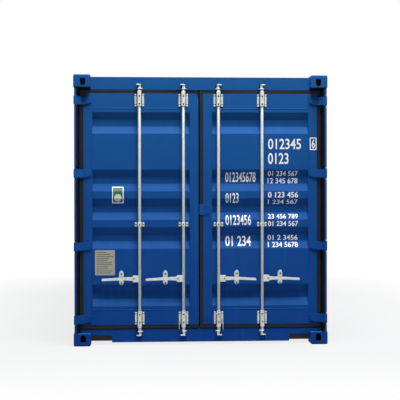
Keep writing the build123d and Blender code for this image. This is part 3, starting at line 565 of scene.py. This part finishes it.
# %% Dress the solids
FINISH_OF_NODE = {
    "castings": casting_paint,
    "rear_corner_posts": post_paint,
    "floor_boards": floor_plywood,
    "cross_members": underside_coating,
    "fork_pocket": underside_coating,
    "seal": seal_rubber,
    "lock_bar": galvanised_steel,
    "handle": bright_zinc,
    # Painted shade: the steel fillers under the top castings get the near black rubber for their recess.
    "header_fillers": seal_rubber,
}
for name, node in nodes.items():
    finishes = [finish for words, finish in FINISH_OF_NODE.items() if words in name]
    node.data.materials.clear()
    node.data.materials.append(finishes[0] if finishes else container_paint)
print("dressed", len(nodes), "nodes")

# %% [markdown]
# ## The folded door panel
# Every thin thing on a door lies on the folded sheet, so its depth is needed at any height. The sheet is a
# line of straight runs: flat, fall, floor, rise, flat. Numbers at the folds and straight lines between them
# are exact.

# %% Panel relief
DOOR_FACE = -2.945
PANEL_TOP, PANEL_BOTTOM, PANEL_INNER, PANEL_OUTER = 2.272, 0.338, 0.108, 1.042
FLUTE_LEAD, FLUTE_PITCH, FLUTE_DEPTH = 0.034643, 0.276286, 0.036
FLUTE_FALL, FLUTE_FLOOR, FLUTE_RISE = 0.069, 0.066, 0.072
FLUTE_ROWS = np.array([6, 4, 3, 2, 0])

flute_top = PANEL_TOP - FLUTE_LEAD - FLUTE_PITCH * FLUTE_ROWS
steps_down = np.cumsum([0.0, FLUTE_FALL, FLUTE_FLOOR, FLUTE_RISE])[::-1]
fold_height = (flute_top[:, None] - steps_down).ravel()
fold_depth = np.tile([0.0, FLUTE_DEPTH, FLUTE_DEPTH, 0.0], len(FLUTE_ROWS))


def panel_face(height):
    """Y of the sheet's outer face: straight lines between the folds, and the door's own face elsewhere."""
    return DOOR_FACE + np.interp(height, fold_height, fold_depth, left=0.0, right=0.0)


def folds_between(bottom, top):
    """Heights of the folds that lie between two levels."""
    return fold_height[(fold_height > bottom) & (fold_height < top)]


panel_low, panel_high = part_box("right_door_panel")
print("folds", len(fold_height), "packed panel", round(panel_low[1], 4), "to", round(panel_high[1], 4))

# %% [markdown]
# ## Seal lips
# The seal is an extrusion with two soft lips: the outer one wipes the frame, the inner one lies on the
# leaf's edge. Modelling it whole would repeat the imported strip, so only the lips are made, as a rounded
# profile that is carried round each leaf with mitred corners.

# %% Seal lips
SEAL_FACE = -2.942
SEAL_OUTER, SEAL_INNER, SEAL_BOTTOM, SEAL_TOP = 1.165, -0.010, 0.158, 2.447
LEAF_INNER = 0.022
LIP_FOOT = 0.0008
OUTER_LIP = {"inset": 0.006, "foot": 0.006, "head": 0.006, "width": 0.009, "height": 0.0035}
INNER_LIP = {"inset": 0.029, "foot": 0.027, "head": 0.022, "width": 0.007, "height": 0.0025}
FORWARD = np.array([0.0, -1.0, 0.0])


def oval_profile(width, height, foot, points):
    """Half an oval: (-cos t * width / 2, sin t * height - foot) for t from 0 to pi."""
    t = np.linspace(0, np.pi, points)
    return np.stack([-np.cos(t) * width / 2, np.sin(t) * height - foot], axis=1)


def rectangle(left, right, bottom, top, depth):
    """Four corners, counted against the clock as seen from in front of the doors."""
    return np.array([(left, depth, bottom), (right, depth, bottom), (right, depth, top), (left, depth, top)])


def lip(left, right, closed, inset, foot, head, width, height):
    """An oval carried along a rectangle that is smaller than the strip by the inset, foot and head.

    Only the right leaf has a strip where the doors meet. The left one's lips run along three sides and end at
    the leaf's edge: the loop starts at the upper right corner and stays open.
    """
    loop = rectangle(left + inset, right - inset * closed, SEAL_BOTTOM + foot, SEAL_TOP - head, SEAL_FACE)
    path = loop if closed else np.roll(loop, -2, axis=0)
    return sweep(path, FORWARD, oval_profile(width, height, LIP_FOOT, 7), closed=closed)


for door, left, right, closed in (("left_door", -SEAL_OUTER, -LEAF_INNER, False),
                                  ("right_door", SEAL_INNER, SEAL_OUTER, True)):
    lips = joined([lip(left, right, closed, **form) for form in (OUTER_LIP, INNER_LIP)])
    piece(door + "_seal_lips", lips, door, seal_rubber, smooth=True)

# %% [markdown]
# ## Bolt heads
# The brackets and retainers are held by hexagon bolts with washers. A bolt head is a turned shape with six
# sides: a round washer below, then the flats, then a small chamfer. One head is worked out and copied to
# all its places, so it has only a few dozen faces.

# %% Bolt heads
def bolt_head(across_corners):
    """Rings of (radius, height): washer, flats and chamfer, in shares of the size across the corners."""
    radius = across_corners / 2
    washer = turned([(radius * 1.25, -0.001), (radius * 1.25, 0.0018), (radius * 1.15, 0.0025)], 12, FORWARD)
    flats = turned([(radius, 0.0024), (radius, radius * 0.62), (radius * 0.8, radius * 0.74)], 6, FORWARD)
    return joined([washer, flats])


def bolts(name, across_corners, places, body, finish=phosphated_steel):
    """One piece of equal bolt heads, with a head at each place."""
    piece(name, repeated(bolt_head(across_corners), places), body, finish)


BAR_INNER, BAR_OUTER = 0.169098, 0.590484
BAR_RADIUS, BAR_LINE = 0.015, -2.971
BRACKET_MIDDLES, COVER_BOLT_LIFT = (0.258, 2.352), 0.038
COVER_FACE = -2.991
COVER_BOLT, RETAINER_BOLT, LAP_BOLT = 0.013, 0.014, 0.012
RETAINER_OFFSET, RETAINER_HEIGHT, RETAINER_FACE, RETAINER_BOLT_LIFT = 0.175, 0.6456, -2.950, 0.054

sides = {"left_door": -1, "right_door": 1}
bars = {"left_door": (-BAR_OUTER, -BAR_INNER), "right_door": (BAR_INNER, BAR_OUTER)}
for door, places in bars.items():
    covers = [(x, COVER_FACE, z + lift) for x in places for z in BRACKET_MIDDLES
              for lift in (-COVER_BOLT_LIFT, COVER_BOLT_LIFT)]
    bolts(door + "_cover_bolts", COVER_BOLT, covers, door)
    ovals = [(x + sides[door] * RETAINER_OFFSET, RETAINER_FACE, RETAINER_HEIGHT + lift) for x in places
             for lift in (-RETAINER_BOLT_LIFT, RETAINER_BOLT_LIFT)]
    bolts(door + "_retainer_bolts", RETAINER_BOLT, ovals, door)

lap_low, lap_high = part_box("door_lap_plate")
lap_columns, lap_rows = (lap_low[0] + 0.055, lap_high[0] - 0.015), (lap_low[2] + 0.02, lap_high[2] - 0.02)
lap_places = [(x, lap_low[1], z) for x in lap_columns for z in lap_rows]
bolts("lap_plate_bolts", LAP_BOLT, lap_places, "right_door", bead_paint)

# %% [markdown]
# ## White figures
# The white rows are cut from vinyl film and stuck on the folded sheet. A font gives the outlines of plain
# numbers. They are made a mesh while flat, fitted to their place, cut where the sheet folds, and then every
# point is laid on the sheet, so the figures bend with it as film does.

# %% White figures
FILM, BOLDNESS = 0.0009, 0.012


def flat_text(text):
    """The outlines of a row of characters as a flat mesh in X and Y."""
    curve = bpy.data.curves.new(text, "FONT")
    curve.body = text
    curve.resolution_u = 4
    curve.offset = BOLDNESS
    holder = bpy.data.objects.new(text, curve)
    bpy.context.scene.collection.objects.link(holder)
    mesh = bpy.data.meshes.new_from_object(holder)
    bpy.data.objects.remove(holder)
    return mesh


def laid_on_panel(mesh, left, right, bottom, top):
    """Point = (left + share across * width, sheet face - film, bottom + share up * height).

    The mesh is cut along the folds first, so that each of its triangles lies on one run of the sheet.
    """
    count = len(mesh.vertices)
    flat = np.empty(count * 3)
    mesh.vertices.foreach_get("co", flat)
    flat = flat.reshape(-1, 3)
    low, high = flat.min(axis=0), flat.max(axis=0)
    share = (flat[:, :2] - low[:2]) / (high[:2] - low[:2])
    x, z = left + share[:, 0] * (right - left), bottom + share[:, 1] * (top - bottom)
    mesh.vertices.foreach_set("co", np.stack([x, np.zeros(count), z], axis=1).ravel())
    cut = bmesh.new()
    cut.from_mesh(mesh)
    for height in folds_between(bottom, top):
        whole = cut.verts[:] + cut.edges[:] + cut.faces[:]
        bmesh.ops.bisect_plane(cut, geom=whole, plane_co=(0, 0, height), plane_no=(0, 0, 1))
    bmesh.ops.dissolve_degenerate(cut, dist=1e-6, edges=cut.edges[:])
    bmesh.ops.triangulate(cut, faces=cut.faces[:])
    points = np.array([vertex.co for vertex in cut.verts])
    faces = np.array([[corner.index for corner in face.verts] for face in cut.faces])
    cut.free()
    points[:, 1] = panel_face(points[:, 2]) - FILM
    return points, [faces]


FIGURES = [
    ("012345", 0.652, 0.972, 1.882, 1.984), ("0123", 0.651, 0.850, 1.739, 1.846),
    ("6", 1.076, 1.108, 1.892, 1.980),
    ("012345678", 0.238, 0.534, 1.565, 1.662), ("0123", 0.238, 0.365, 1.362, 1.460),
    ("0123456", 0.238, 0.486, 1.150, 1.247), ("01 234", 0.238, 0.486, 0.946, 1.044),
    ("01 234 567", 0.651, 0.943, 1.623, 1.672), ("12 345 678", 0.651, 0.943, 1.551, 1.604),
    ("0 123 456", 0.651, 0.943, 1.415, 1.469), ("1 234 567", 0.651, 0.943, 1.352, 1.396),
    ("23 456 789", 0.651, 0.943, 1.211, 1.256), ("01 234 567", 0.651, 0.943, 1.139, 1.188),
    ("01 2 3456", 0.651, 0.943, 1.003, 1.052), ("1 234 5678", 0.651, 0.943, 0.935, 0.985),
]
FIGURE_FRAME, FRAME_BAND = (1.058, 1.124, 1.876, 1.996), 0.009
rows = [laid_on_panel(flat_text(text), *place) for text, *place in FIGURES]


def flat_band(left, right, bottom, top, width, depth):
    """A flat frame round a rectangle: its corners, and the same corners moved in by the band's width."""
    outer = rectangle(left, right, bottom, top, depth)
    inner = rectangle(left + width, right - width, bottom + width, top - width, depth)
    quads = [(k, (k + 1) % 4, (k + 1) % 4 + 4, k + 4) for k in range(4)]
    return np.concatenate([outer, inner]), [np.array(quads)]


rows.append(flat_band(*FIGURE_FRAME, FRAME_BAND, DOOR_FACE - FILM))
piece("right_door_figures", joined(rows), "right_door", white_vinyl)

# %% [markdown]
# ## Rounded plates and upright plates
# Much of the locking gear is cut from plate. One maker gives a plate that faces forward with rounded
# corners, the other carries an outline seen from above up to a second level. Both take off a hair at their
# edges, as a guillotine and the zinc leave them.

# %% Plate makers
ARC_POINTS, SUNK = 5, 0.0005
ARRIS_DEPTH, ARRIS_INSET = 0.0003, 0.0004
EASE, EASED = 0.0012, 0.95


def rounded_plate(left, right, bottom, top, radius, back, face):
    """Corner arcs, middle + reach * (cos a, sin a), at the back, near the face and at the face."""
    turn = np.arange(4)[:, None] * np.pi / 2 + np.linspace(0, np.pi / 2, ARC_POINTS)[None, :] + np.pi
    middle_x = np.array([left + radius, right - radius, right - radius, left + radius])[:, None]
    middle_z = np.array([bottom + radius, bottom + radius, top - radius, top - radius])[:, None]
    count = 4 * ARC_POINTS

    def ring(inset, depth):
        reach = radius - inset
        x, z = (middle_x + reach * np.cos(turn)).ravel(), (middle_z + reach * np.sin(turn)).ravel()
        return np.stack([x, np.full(count, depth), z], axis=1)

    points = np.concatenate([ring(0.0, back), ring(0.0, face + ARRIS_DEPTH), ring(ARRIS_INSET, face)])
    ends = [np.arange(count)[::-1][None, :], (np.arange(count) + 2 * count)[None, :]]
    return points, [grid_faces(3, count, close_columns=True), *ends]


def upright_plate(outline, side, place, low, high):
    """(x, y) = place + (side * a, b) for each (a, b) of an outline, carried up from low to high."""
    outline = np.asarray(outline)[::side] * (side, 1)
    middle = outline.mean(axis=0)
    profile = (outline - middle) * (1, -1)
    ease = min(EASE, (high - low) / 4)
    path = [(*(middle + place), z) for z in (low, low + ease, high - ease, high)]
    return sweep(path, FORWARD, profile, swell=(EASED, 1.0, 1.0, EASED))


def cut_box(left, right, back, front, cut=0.003):
    """A box seen from above, with cut corners, counted against the clock. The front is the lesser number."""
    return [(left + cut, front), (right - cut, front), (right, front + cut), (right, back - cut),
            (right - cut, back), (left + cut, back), (left, back - cut), (left, front + cut)]


print("a plate has", len(rounded_plate(0, 1, 0, 1, 0.1, 0, -0.01)[0]), "points")

# %% [markdown]
# ## Locking bars
# A bar is a 30 mm tube with a forging welded into each end: two claws on a stem, which bite above and below
# the keeper's middle prong. A collar rides on the lowest bracket, and two cheeks hold the handle's pin. Tube,
# collar and pin are turned shapes, the rest are plates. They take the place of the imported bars.

# %% Locking bars
HANDLE_HEIGHT, HANDLE_PIVOT = 0.6376, 0.055
FAR_CLAW = [(-0.017, -0.014), (-0.006, -0.021), (0.026, -0.021), (0.033, -0.012), (0.033, 0.004),
            (0.020, 0.010), (0.010, 0.016), (-0.012, 0.014), (-0.017, 0.008)]
NEAR_CLAW = [(-0.031, -0.008), (-0.018, -0.020), (0.012, -0.021), (0.019, -0.012), (0.018, 0.010),
             (0.006, 0.016), (-0.010, 0.015), (-0.026, 0.006)]
STEM = cut_box(-0.016, 0.008, 0.010, -0.010)
CLAW, STEM_LENGTH = 0.009, 0.030
BAR_ENDS, BAR_END, BAR_EASE = (0.130, 2.456), 0.0135, 0.0015
FORGING_STARTS = ((2.456, 1), (0.139, -1))
COLLAR = [(0.0185, 0.3175), (0.0215, 0.319), (0.0215, 0.326), (0.0185, 0.3275)]
CHEEK_REACH, CHEEK_HALF, CHEEK_ROUND = (0.004, 0.066), 0.031, 0.004
CHEEK_DEPTHS = ((-2.9775, -2.982), (-2.960, -2.9645))
PIN_RADIUS, PIN_LENGTH, PIN_BACK, PIN_BOLT = 0.0058, 0.014, -2.964, 0.012


def bar_tube(x):
    """The tube and its collar: rings of (radius, height) turned about the upright line of the bar."""
    low, high = BAR_ENDS
    tube = [(BAR_END, low), (BAR_RADIUS, low + BAR_EASE), (BAR_RADIUS, high - BAR_EASE), (BAR_END, high)]
    shapes = [turned(rings, 28, (0.0, 0.0, 1.0)) for rings in (tube, COLLAR)]
    return repeated(joined(shapes), [(x, BAR_LINE, 0.0)])


def bar_forgings(x, side):
    """Claws and stems at both ends, then the two cheeks and the pin of the handle."""
    levels = ((NEAR_CLAW, 0.0, CLAW), (STEM, CLAW, STEM_LENGTH), (FAR_CLAW, CLAW + STEM_LENGTH, CLAW))
    parts = []
    for near, away in FORGING_STARTS:
        for outline, start, thick in levels:
            low, high = sorted((near + away * start, near + away * (start + thick)))
            parts.append(upright_plate(outline, side, (x, BAR_LINE), low, high))
    left, right = sorted(x + side * reach for reach in CHEEK_REACH)
    low, high = HANDLE_HEIGHT - CHEEK_HALF, HANDLE_HEIGHT + CHEEK_HALF
    parts += [rounded_plate(left, right, low, high, CHEEK_ROUND, back, face) for back, face in CHEEK_DEPTHS]
    pin = turned([(PIN_RADIUS, 0.0), (PIN_RADIUS, PIN_LENGTH)], 12, FORWARD)
    parts.append(repeated(pin, [(x + side * HANDLE_PIVOT, PIN_BACK, HANDLE_HEIGHT)]))
    return joined(parts)


gear = [(-BAR_OUTER, -1), (-BAR_INNER, -1), (BAR_INNER, 1), (BAR_OUTER, 1)]
for number, (x, side) in enumerate(gear, start=1):
    body = f"lock_bar_{number}"
    piece(body + "_tube", bar_tube(x), body, galvanised_steel, smooth=True)
    forgings = piece(body + "_forgings", bar_forgings(x, side), body, bright_zinc)
    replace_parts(forgings, body)
    pin_place = (x + side * HANDLE_PIVOT, CHEEK_DEPTHS[0][1], HANDLE_HEIGHT)
    bolts(body + "_pin_head", PIN_BOLT, [pin_place], body)

# %% [markdown]
# ## Keepers
# The keepers are welded to header and sill and painted with them: a back plate, an outer prong past the far
# claw, and a middle prong between the claws that is forked round the stem.

# %% Keepers
KEEPER_FOOT, KEEPER_BACK, KEEPER_HALF, KEEPER_ROUND = -2.938, -2.944, 0.024, 0.003
OUTER_PRONG = cut_box(-0.024, 0.024, 0.027, -0.006)
FORK_PRONG = [(-0.030, -0.016), (-0.023, -0.016), (-0.023, 0.025), (0.023, 0.025), (0.023, -0.016),
              (0.030, -0.016), (0.030, 0.020), (0.024, 0.029), (-0.024, 0.029), (-0.030, 0.020)]
BACK_LEVELS, OUTER_LEVELS, FORK_LEVELS = (0.014, 0.060), (0.053, 0.060), (0.020, 0.028)


def keeper(x, side, near, away):
    """A back plate and two prongs: height = near + away * level, from the near end of the forging."""
    back, outer, fork = [sorted(near + away * level for level in pair)
                         for pair in (BACK_LEVELS, OUTER_LEVELS, FORK_LEVELS)]
    left, right = x - KEEPER_HALF, x + KEEPER_HALF
    plate = rounded_plate(left, right, *back, KEEPER_ROUND, KEEPER_FOOT + SUNK, KEEPER_BACK)
    prongs = [upright_plate(outline, side, (x, BAR_LINE), *levels)
              for outline, levels in ((OUTER_PRONG, outer), (FORK_PRONG, fork))]
    return joined([plate, *prongs])


keepers = joined([keeper(x, side, near, away) for x, side in gear for near, away in FORGING_STARTS])
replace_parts(piece("keepers", keepers, "frame", container_paint), "cam_keepers")

# %% [markdown]
# ## Bar brackets
# Each bracket has pads left and right, parted near their ends, and a pressed cover over the bar. Black
# strips and a black backing under them are painted shade: dark lines beside the cover and between the pads.
# The cover is a channel seen from above, and carrying it upwards gives the pressed sheet at its real
# thickness.

# %% Bar brackets
PLATE_LEVELS = ((0.199, 0.317), (1.139, 1.179), (2.293, 2.411))
COVER_LEVELS = ((0.171, 0.317), (1.139, 1.179), (2.293, 2.439))
COVER_OUTLINE = [(-0.019, 0.024), (-0.019, -0.016), (-0.015, -0.020), (0.015, -0.020), (0.019, -0.016),
                 (0.019, 0.024), (0.0165, 0.024), (0.0165, -0.0145), (0.0145, -0.0168), (-0.0145, -0.0168),
                 (-0.0165, -0.0145), (-0.0165, 0.024)]
BASE_FACE, PAD_FACE, SHADE_STRIP_FACE = -2.9475, -2.9515, -2.9535
PAD_COLUMNS = ((-0.045, -0.0265), (0.0265, 0.045))
SHADE_STRIP_COLUMNS = ((-0.0260, -0.0192), (0.0192, 0.0260))
PAD_ROUND, SHADE_STRIP_ROUND, BACKING_ROUND = 0.003, 0.001, 0.004
END_PAD, LONG_PAD_INSET, TALL_BRACKET = 0.014, 0.020, 0.1
BACKING_HALF, BACKING_INSET = 0.043, 0.001
MIDDLE_HEIGHT, MIDDLE_BOLTS, MIDDLE_BOLT = 1.159, (-0.036, 0.0, 0.036), 0.010


def bracket_covers(x):
    """The covers of one bar at three levels."""
    return [upright_plate(COVER_OUTLINE, 1, (x, BAR_LINE), *levels) for levels in COVER_LEVELS]


def bracket_pads(x):
    """Pads left and right: a tall bracket has a short one at each end and a long one between them."""
    parts = []
    for low, high in PLATE_LEVELS:
        long_pad = (low + LONG_PAD_INSET, high - LONG_PAD_INSET)
        tall = high - low > TALL_BRACKET
        steps = [(low, low + END_PAD), long_pad, (high - END_PAD, high)] if tall else [(low, high)]
        parts += [rounded_plate(x + left, x + right, start, end, PAD_ROUND, DOOR_FACE + SUNK, PAD_FACE)
                  for start, end in steps for left, right in PAD_COLUMNS]
    return parts


def bracket_shade_strips(x):
    """A black backing under each bracket and two black strips beside each cover, all painted shade."""
    left, right = x - BACKING_HALF, x + BACKING_HALF
    backing = [rounded_plate(left, right, low + BACKING_INSET, high - BACKING_INSET, BACKING_ROUND,
                             DOOR_FACE + SUNK, BASE_FACE) for low, high in PLATE_LEVELS]
    strips = [rounded_plate(x + start, x + end, low, high, SHADE_STRIP_ROUND, BASE_FACE + SUNK, SHADE_STRIP_FACE)
              for low, high in PLATE_LEVELS for start, end in SHADE_STRIP_COLUMNS]
    return backing + strips


ROD_RADIUS, ROD_SIDES = 0.0035, 8
ROD_ROUTE = [(-0.039, -2.953, 0.312), (-0.026, -2.994, 0.303), (0.014, -2.996, 0.272), (0.034, -2.985, 0.246),
             (0.042, -2.968, 0.222), (0.042, -2.963, 0.160), (0.042, -2.968, 0.151), (0.042, -2.980, 0.150),
             (0.042, -2.984, 0.163)]


def tie_hook(x, side):
    """A 7 mm rod that crosses the lowest bracket, hangs beside it and turns up at its foot."""
    route = np.array(ROD_ROUTE) * (side, 1, 1) + (x, 0, 0)
    angle = np.arange(ROD_SIDES)[::-1] * 2 * np.pi / ROD_SIDES
    circle = ROD_RADIUS * np.stack([np.cos(angle), np.sin(angle)], axis=1)
    return sweep(route, (side * 0.3, -0.95, 0.0), circle)


def on_bars(make, places):
    """One shape from the parts that a maker gives for each bar."""
    return joined([part for x in places for part in make(x)])


for door, places in bars.items():
    pads = piece(door + "_bracket_pads", on_bars(bracket_pads, places), door, bright_zinc)
    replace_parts(pads, door + "_bar_brackets")
    covers = on_bars(bracket_covers, places)
    piece(door + "_bracket_covers", covers, door, bright_zinc)
    small = [(x + off, PAD_FACE if off else COVER_FACE, MIDDLE_HEIGHT)
             for x in places for off in MIDDLE_BOLTS]
    bolts(door + "_middle_bolts", MIDDLE_BOLT, small, door)
    piece(door + "_bracket_shade_strips", on_bars(bracket_shade_strips, places), door, shade_strip_black)
    hook = tie_hook(sides[door] * BAR_INNER, sides[door])
    piece(door + "_tie_hook", hook, door, bright_zinc)

# %% [markdown]
# ## Retainers and catches
# The oval retainer carries a catch that turns on a post above the handle. The catch is a short plate with
# round ends under a bolt head.

# %% Catches
CATCH_PIVOT, CATCH_BACK, CATCH_FRONT, CATCH_BOLT = 0.6856, -2.982, -2.986, 0.014
CATCH_HALF, CATCH_BELOW, CATCH_ABOVE, CATCH_ROUND = 0.012, 0.012, 0.034, 0.0115
for number, (x, side) in enumerate(gear, start=1):
    body, middle = f"catch_{number}", x + side * RETAINER_OFFSET
    edges = (middle - CATCH_HALF, middle + CATCH_HALF, CATCH_PIVOT - CATCH_BELOW, CATCH_PIVOT + CATCH_ABOVE)
    plate = rounded_plate(*edges, CATCH_ROUND, CATCH_BACK, CATCH_FRONT)
    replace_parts(piece(body + "_plate", plate, body, bright_zinc), body)
    bolts(body + "_head", CATCH_BOLT, [(middle, CATCH_FRONT, CATCH_PIVOT)], body)

# %% [markdown]
# ## Data plate
# The data plate is a thin stainless sheet with rounded corners, held by blind rivets. Here it is bare but
# for ruled lines.

# %% Data plate
PLATE_EDGES = PLATE_LEFT, PLATE_RIGHT, PLATE_BOTTOM, PLATE_TOP = -1.018, -0.828, 0.672, 0.912
PLATE_THICK, PLATE_ROUND = 0.0015, 0.008
plate_face = DOOR_FACE - PLATE_THICK
plate = rounded_plate(*PLATE_EDGES, PLATE_ROUND, DOOR_FACE + SUNK, plate_face)
piece("data_plate", plate, "left_door", stainless_plate)

RULES, RULE_HALF, RULE_LIFT = 11, 0.0027, 0.0002
RULE_MARGIN, RULE_SIDE = 0.022, 0.016
rule_height = np.linspace(PLATE_TOP - RULE_MARGIN, PLATE_BOTTOM + RULE_MARGIN, RULES)
rule_end = PLATE_RIGHT - RULE_SIDE - 0.03 * (1 + np.cos(1.7 * np.arange(RULES)))
rules = [flat_band(PLATE_LEFT + RULE_SIDE, end, z - RULE_HALF, z + RULE_HALF, RULE_HALF * 0.98,
                   plate_face - RULE_LIFT) for end, z in zip(rule_end, rule_height)]
piece("data_plate_rules", joined(rules), "left_door", black_enamel)

RIVET_INSET = 0.009
rivet = turned([(0.0045, -0.0005), (0.0045, 0.0004), (0.0036, 0.0014), (0.0018, 0.002)], 10, FORWARD)
rivet_rows = (PLATE_BOTTOM + RIVET_INSET, (PLATE_BOTTOM + PLATE_TOP) / 2, PLATE_TOP - RIVET_INSET)
rivet_places = [(x, plate_face, z) for x in (PLATE_LEFT + RIVET_INSET, PLATE_RIGHT - RIVET_INSET)
                for z in rivet_rows]
piece("data_plate_rivets", repeated(rivet, rivet_places), "left_door", stainless_plate)

# %% [markdown]
# ## Green sticker
# The sticker crosses a fold, so it is a grid with one row of points at each fold and laid on the sheet. The
# white border is the lower film, and a smaller green film lies on it with a plain pale disc in a dark ring.

# %% Green sticker
def film_on_panel(left, right, bottom, top, lift):
    """A sheet of film: two columns, and a row at its ends and at each fold that it crosses."""
    height = np.sort(np.concatenate([[bottom, top], folds_between(bottom, top)]))
    depth = panel_face(height) - lift
    columns = [np.stack([np.full(len(height), x), depth, height], axis=1) for x in (left, right)]
    return np.stack(columns, axis=1).reshape(-1, 3), [grid_faces(len(height), 2)]


def disc_on_panel(middle, height, radius, lift):
    """A round film: a polygon of 32 corners, (cos a, sin a), cut where the sheet folds and laid on it."""
    angle = np.arange(DISC_CORNERS) * 2 * np.pi / DISC_CORNERS
    circle = np.stack([np.cos(angle), np.sin(angle), angle * 0], axis=1)
    outline = bpy.data.meshes.new("disc")
    outline.from_pydata(circle.tolist(), [], [tuple(range(DISC_CORNERS))])
    edges = (middle - radius, middle + radius, height - radius, height + radius)
    points, blocks = laid_on_panel(outline, *edges)
    points[:, 1] += FILM - lift
    return points, blocks


DISC_CORNERS, DISC_MIDDLE = 32, -0.798
BORDER_EDGES, GREEN_EDGES = (-0.853, -0.743, 1.362, 1.521), (-0.845, -0.751, 1.371, 1.512)
piece("sticker_border", film_on_panel(*BORDER_EDGES, lift=0.0006), "left_door", white_vinyl)
piece("sticker_green", film_on_panel(*GREEN_EDGES, lift=0.0010), "left_door", green_vinyl)
ring = disc_on_panel(DISC_MIDDLE, height=1.413, radius=0.042, lift=0.0013)
disc = disc_on_panel(DISC_MIDDLE, height=1.415, radius=0.036, lift=0.0016)
piece("sticker_ring", ring, "left_door", deep_vinyl)
piece("sticker_disc", disc, "left_door", cream_vinyl)

# %% [markdown]
# ## Weld beads
# The folded panel is welded into the leaf's frame all round. A bead is a low half oval along its joint,
# with ripples left by the moving pool. Real ripples are 3 mm apart; they are drawn 12 mm apart so that they
# show.

# %% Weld beads
RIPPLE, RIPPLE_SWELL = 0.012, 0.18
BEAD_WIDTH, BEAD_HEIGHT, BEAD_FOOT = 0.008, 0.003, 0.0006


def bead(corners):
    """A half oval along a line of runs, three points to a ripple.

    Size = 1 + 0.18 * cos(2 pi * length / ripple).
    """
    corners = np.asarray(corners, float)
    run = np.linalg.norm(np.diff(corners, axis=0), axis=1)
    station = np.concatenate([[0.0], np.cumsum(run)])
    length = np.linspace(0, station[-1], max(int(station[-1] / RIPPLE * 3), 3))
    path = np.stack([np.interp(length, station, corners[:, k]) for k in range(3)], axis=1)
    swell = 1 + RIPPLE_SWELL * np.cos(2 * np.pi * length / RIPPLE)
    return sweep(path, FORWARD, oval_profile(BEAD_WIDTH, BEAD_HEIGHT, BEAD_FOOT, 5), swell=swell)


def panel_beads(side):
    """Beads round the folded panel: level ones at its top and bottom, and two that follow the folds."""
    inner, outer = sorted((side * PANEL_INNER, side * PANEL_OUTER))
    height = np.concatenate([[PANEL_BOTTOM], fold_height, [PANEL_TOP]])
    depth = np.concatenate([[DOOR_FACE], DOOR_FACE + fold_depth, [DOOR_FACE]])
    level = [bead([(inner, DOOR_FACE, z), (outer, DOOR_FACE, z)]) for z in (PANEL_BOTTOM, PANEL_TOP)]
    upright = [bead(np.stack([np.full(len(height), x), depth, height], axis=1)) for x in (inner, outer)]
    return joined(level + upright)


for door, side in sides.items():
    piece(door + "_panel_beads", panel_beads(side), door, bead_paint, smooth=True)
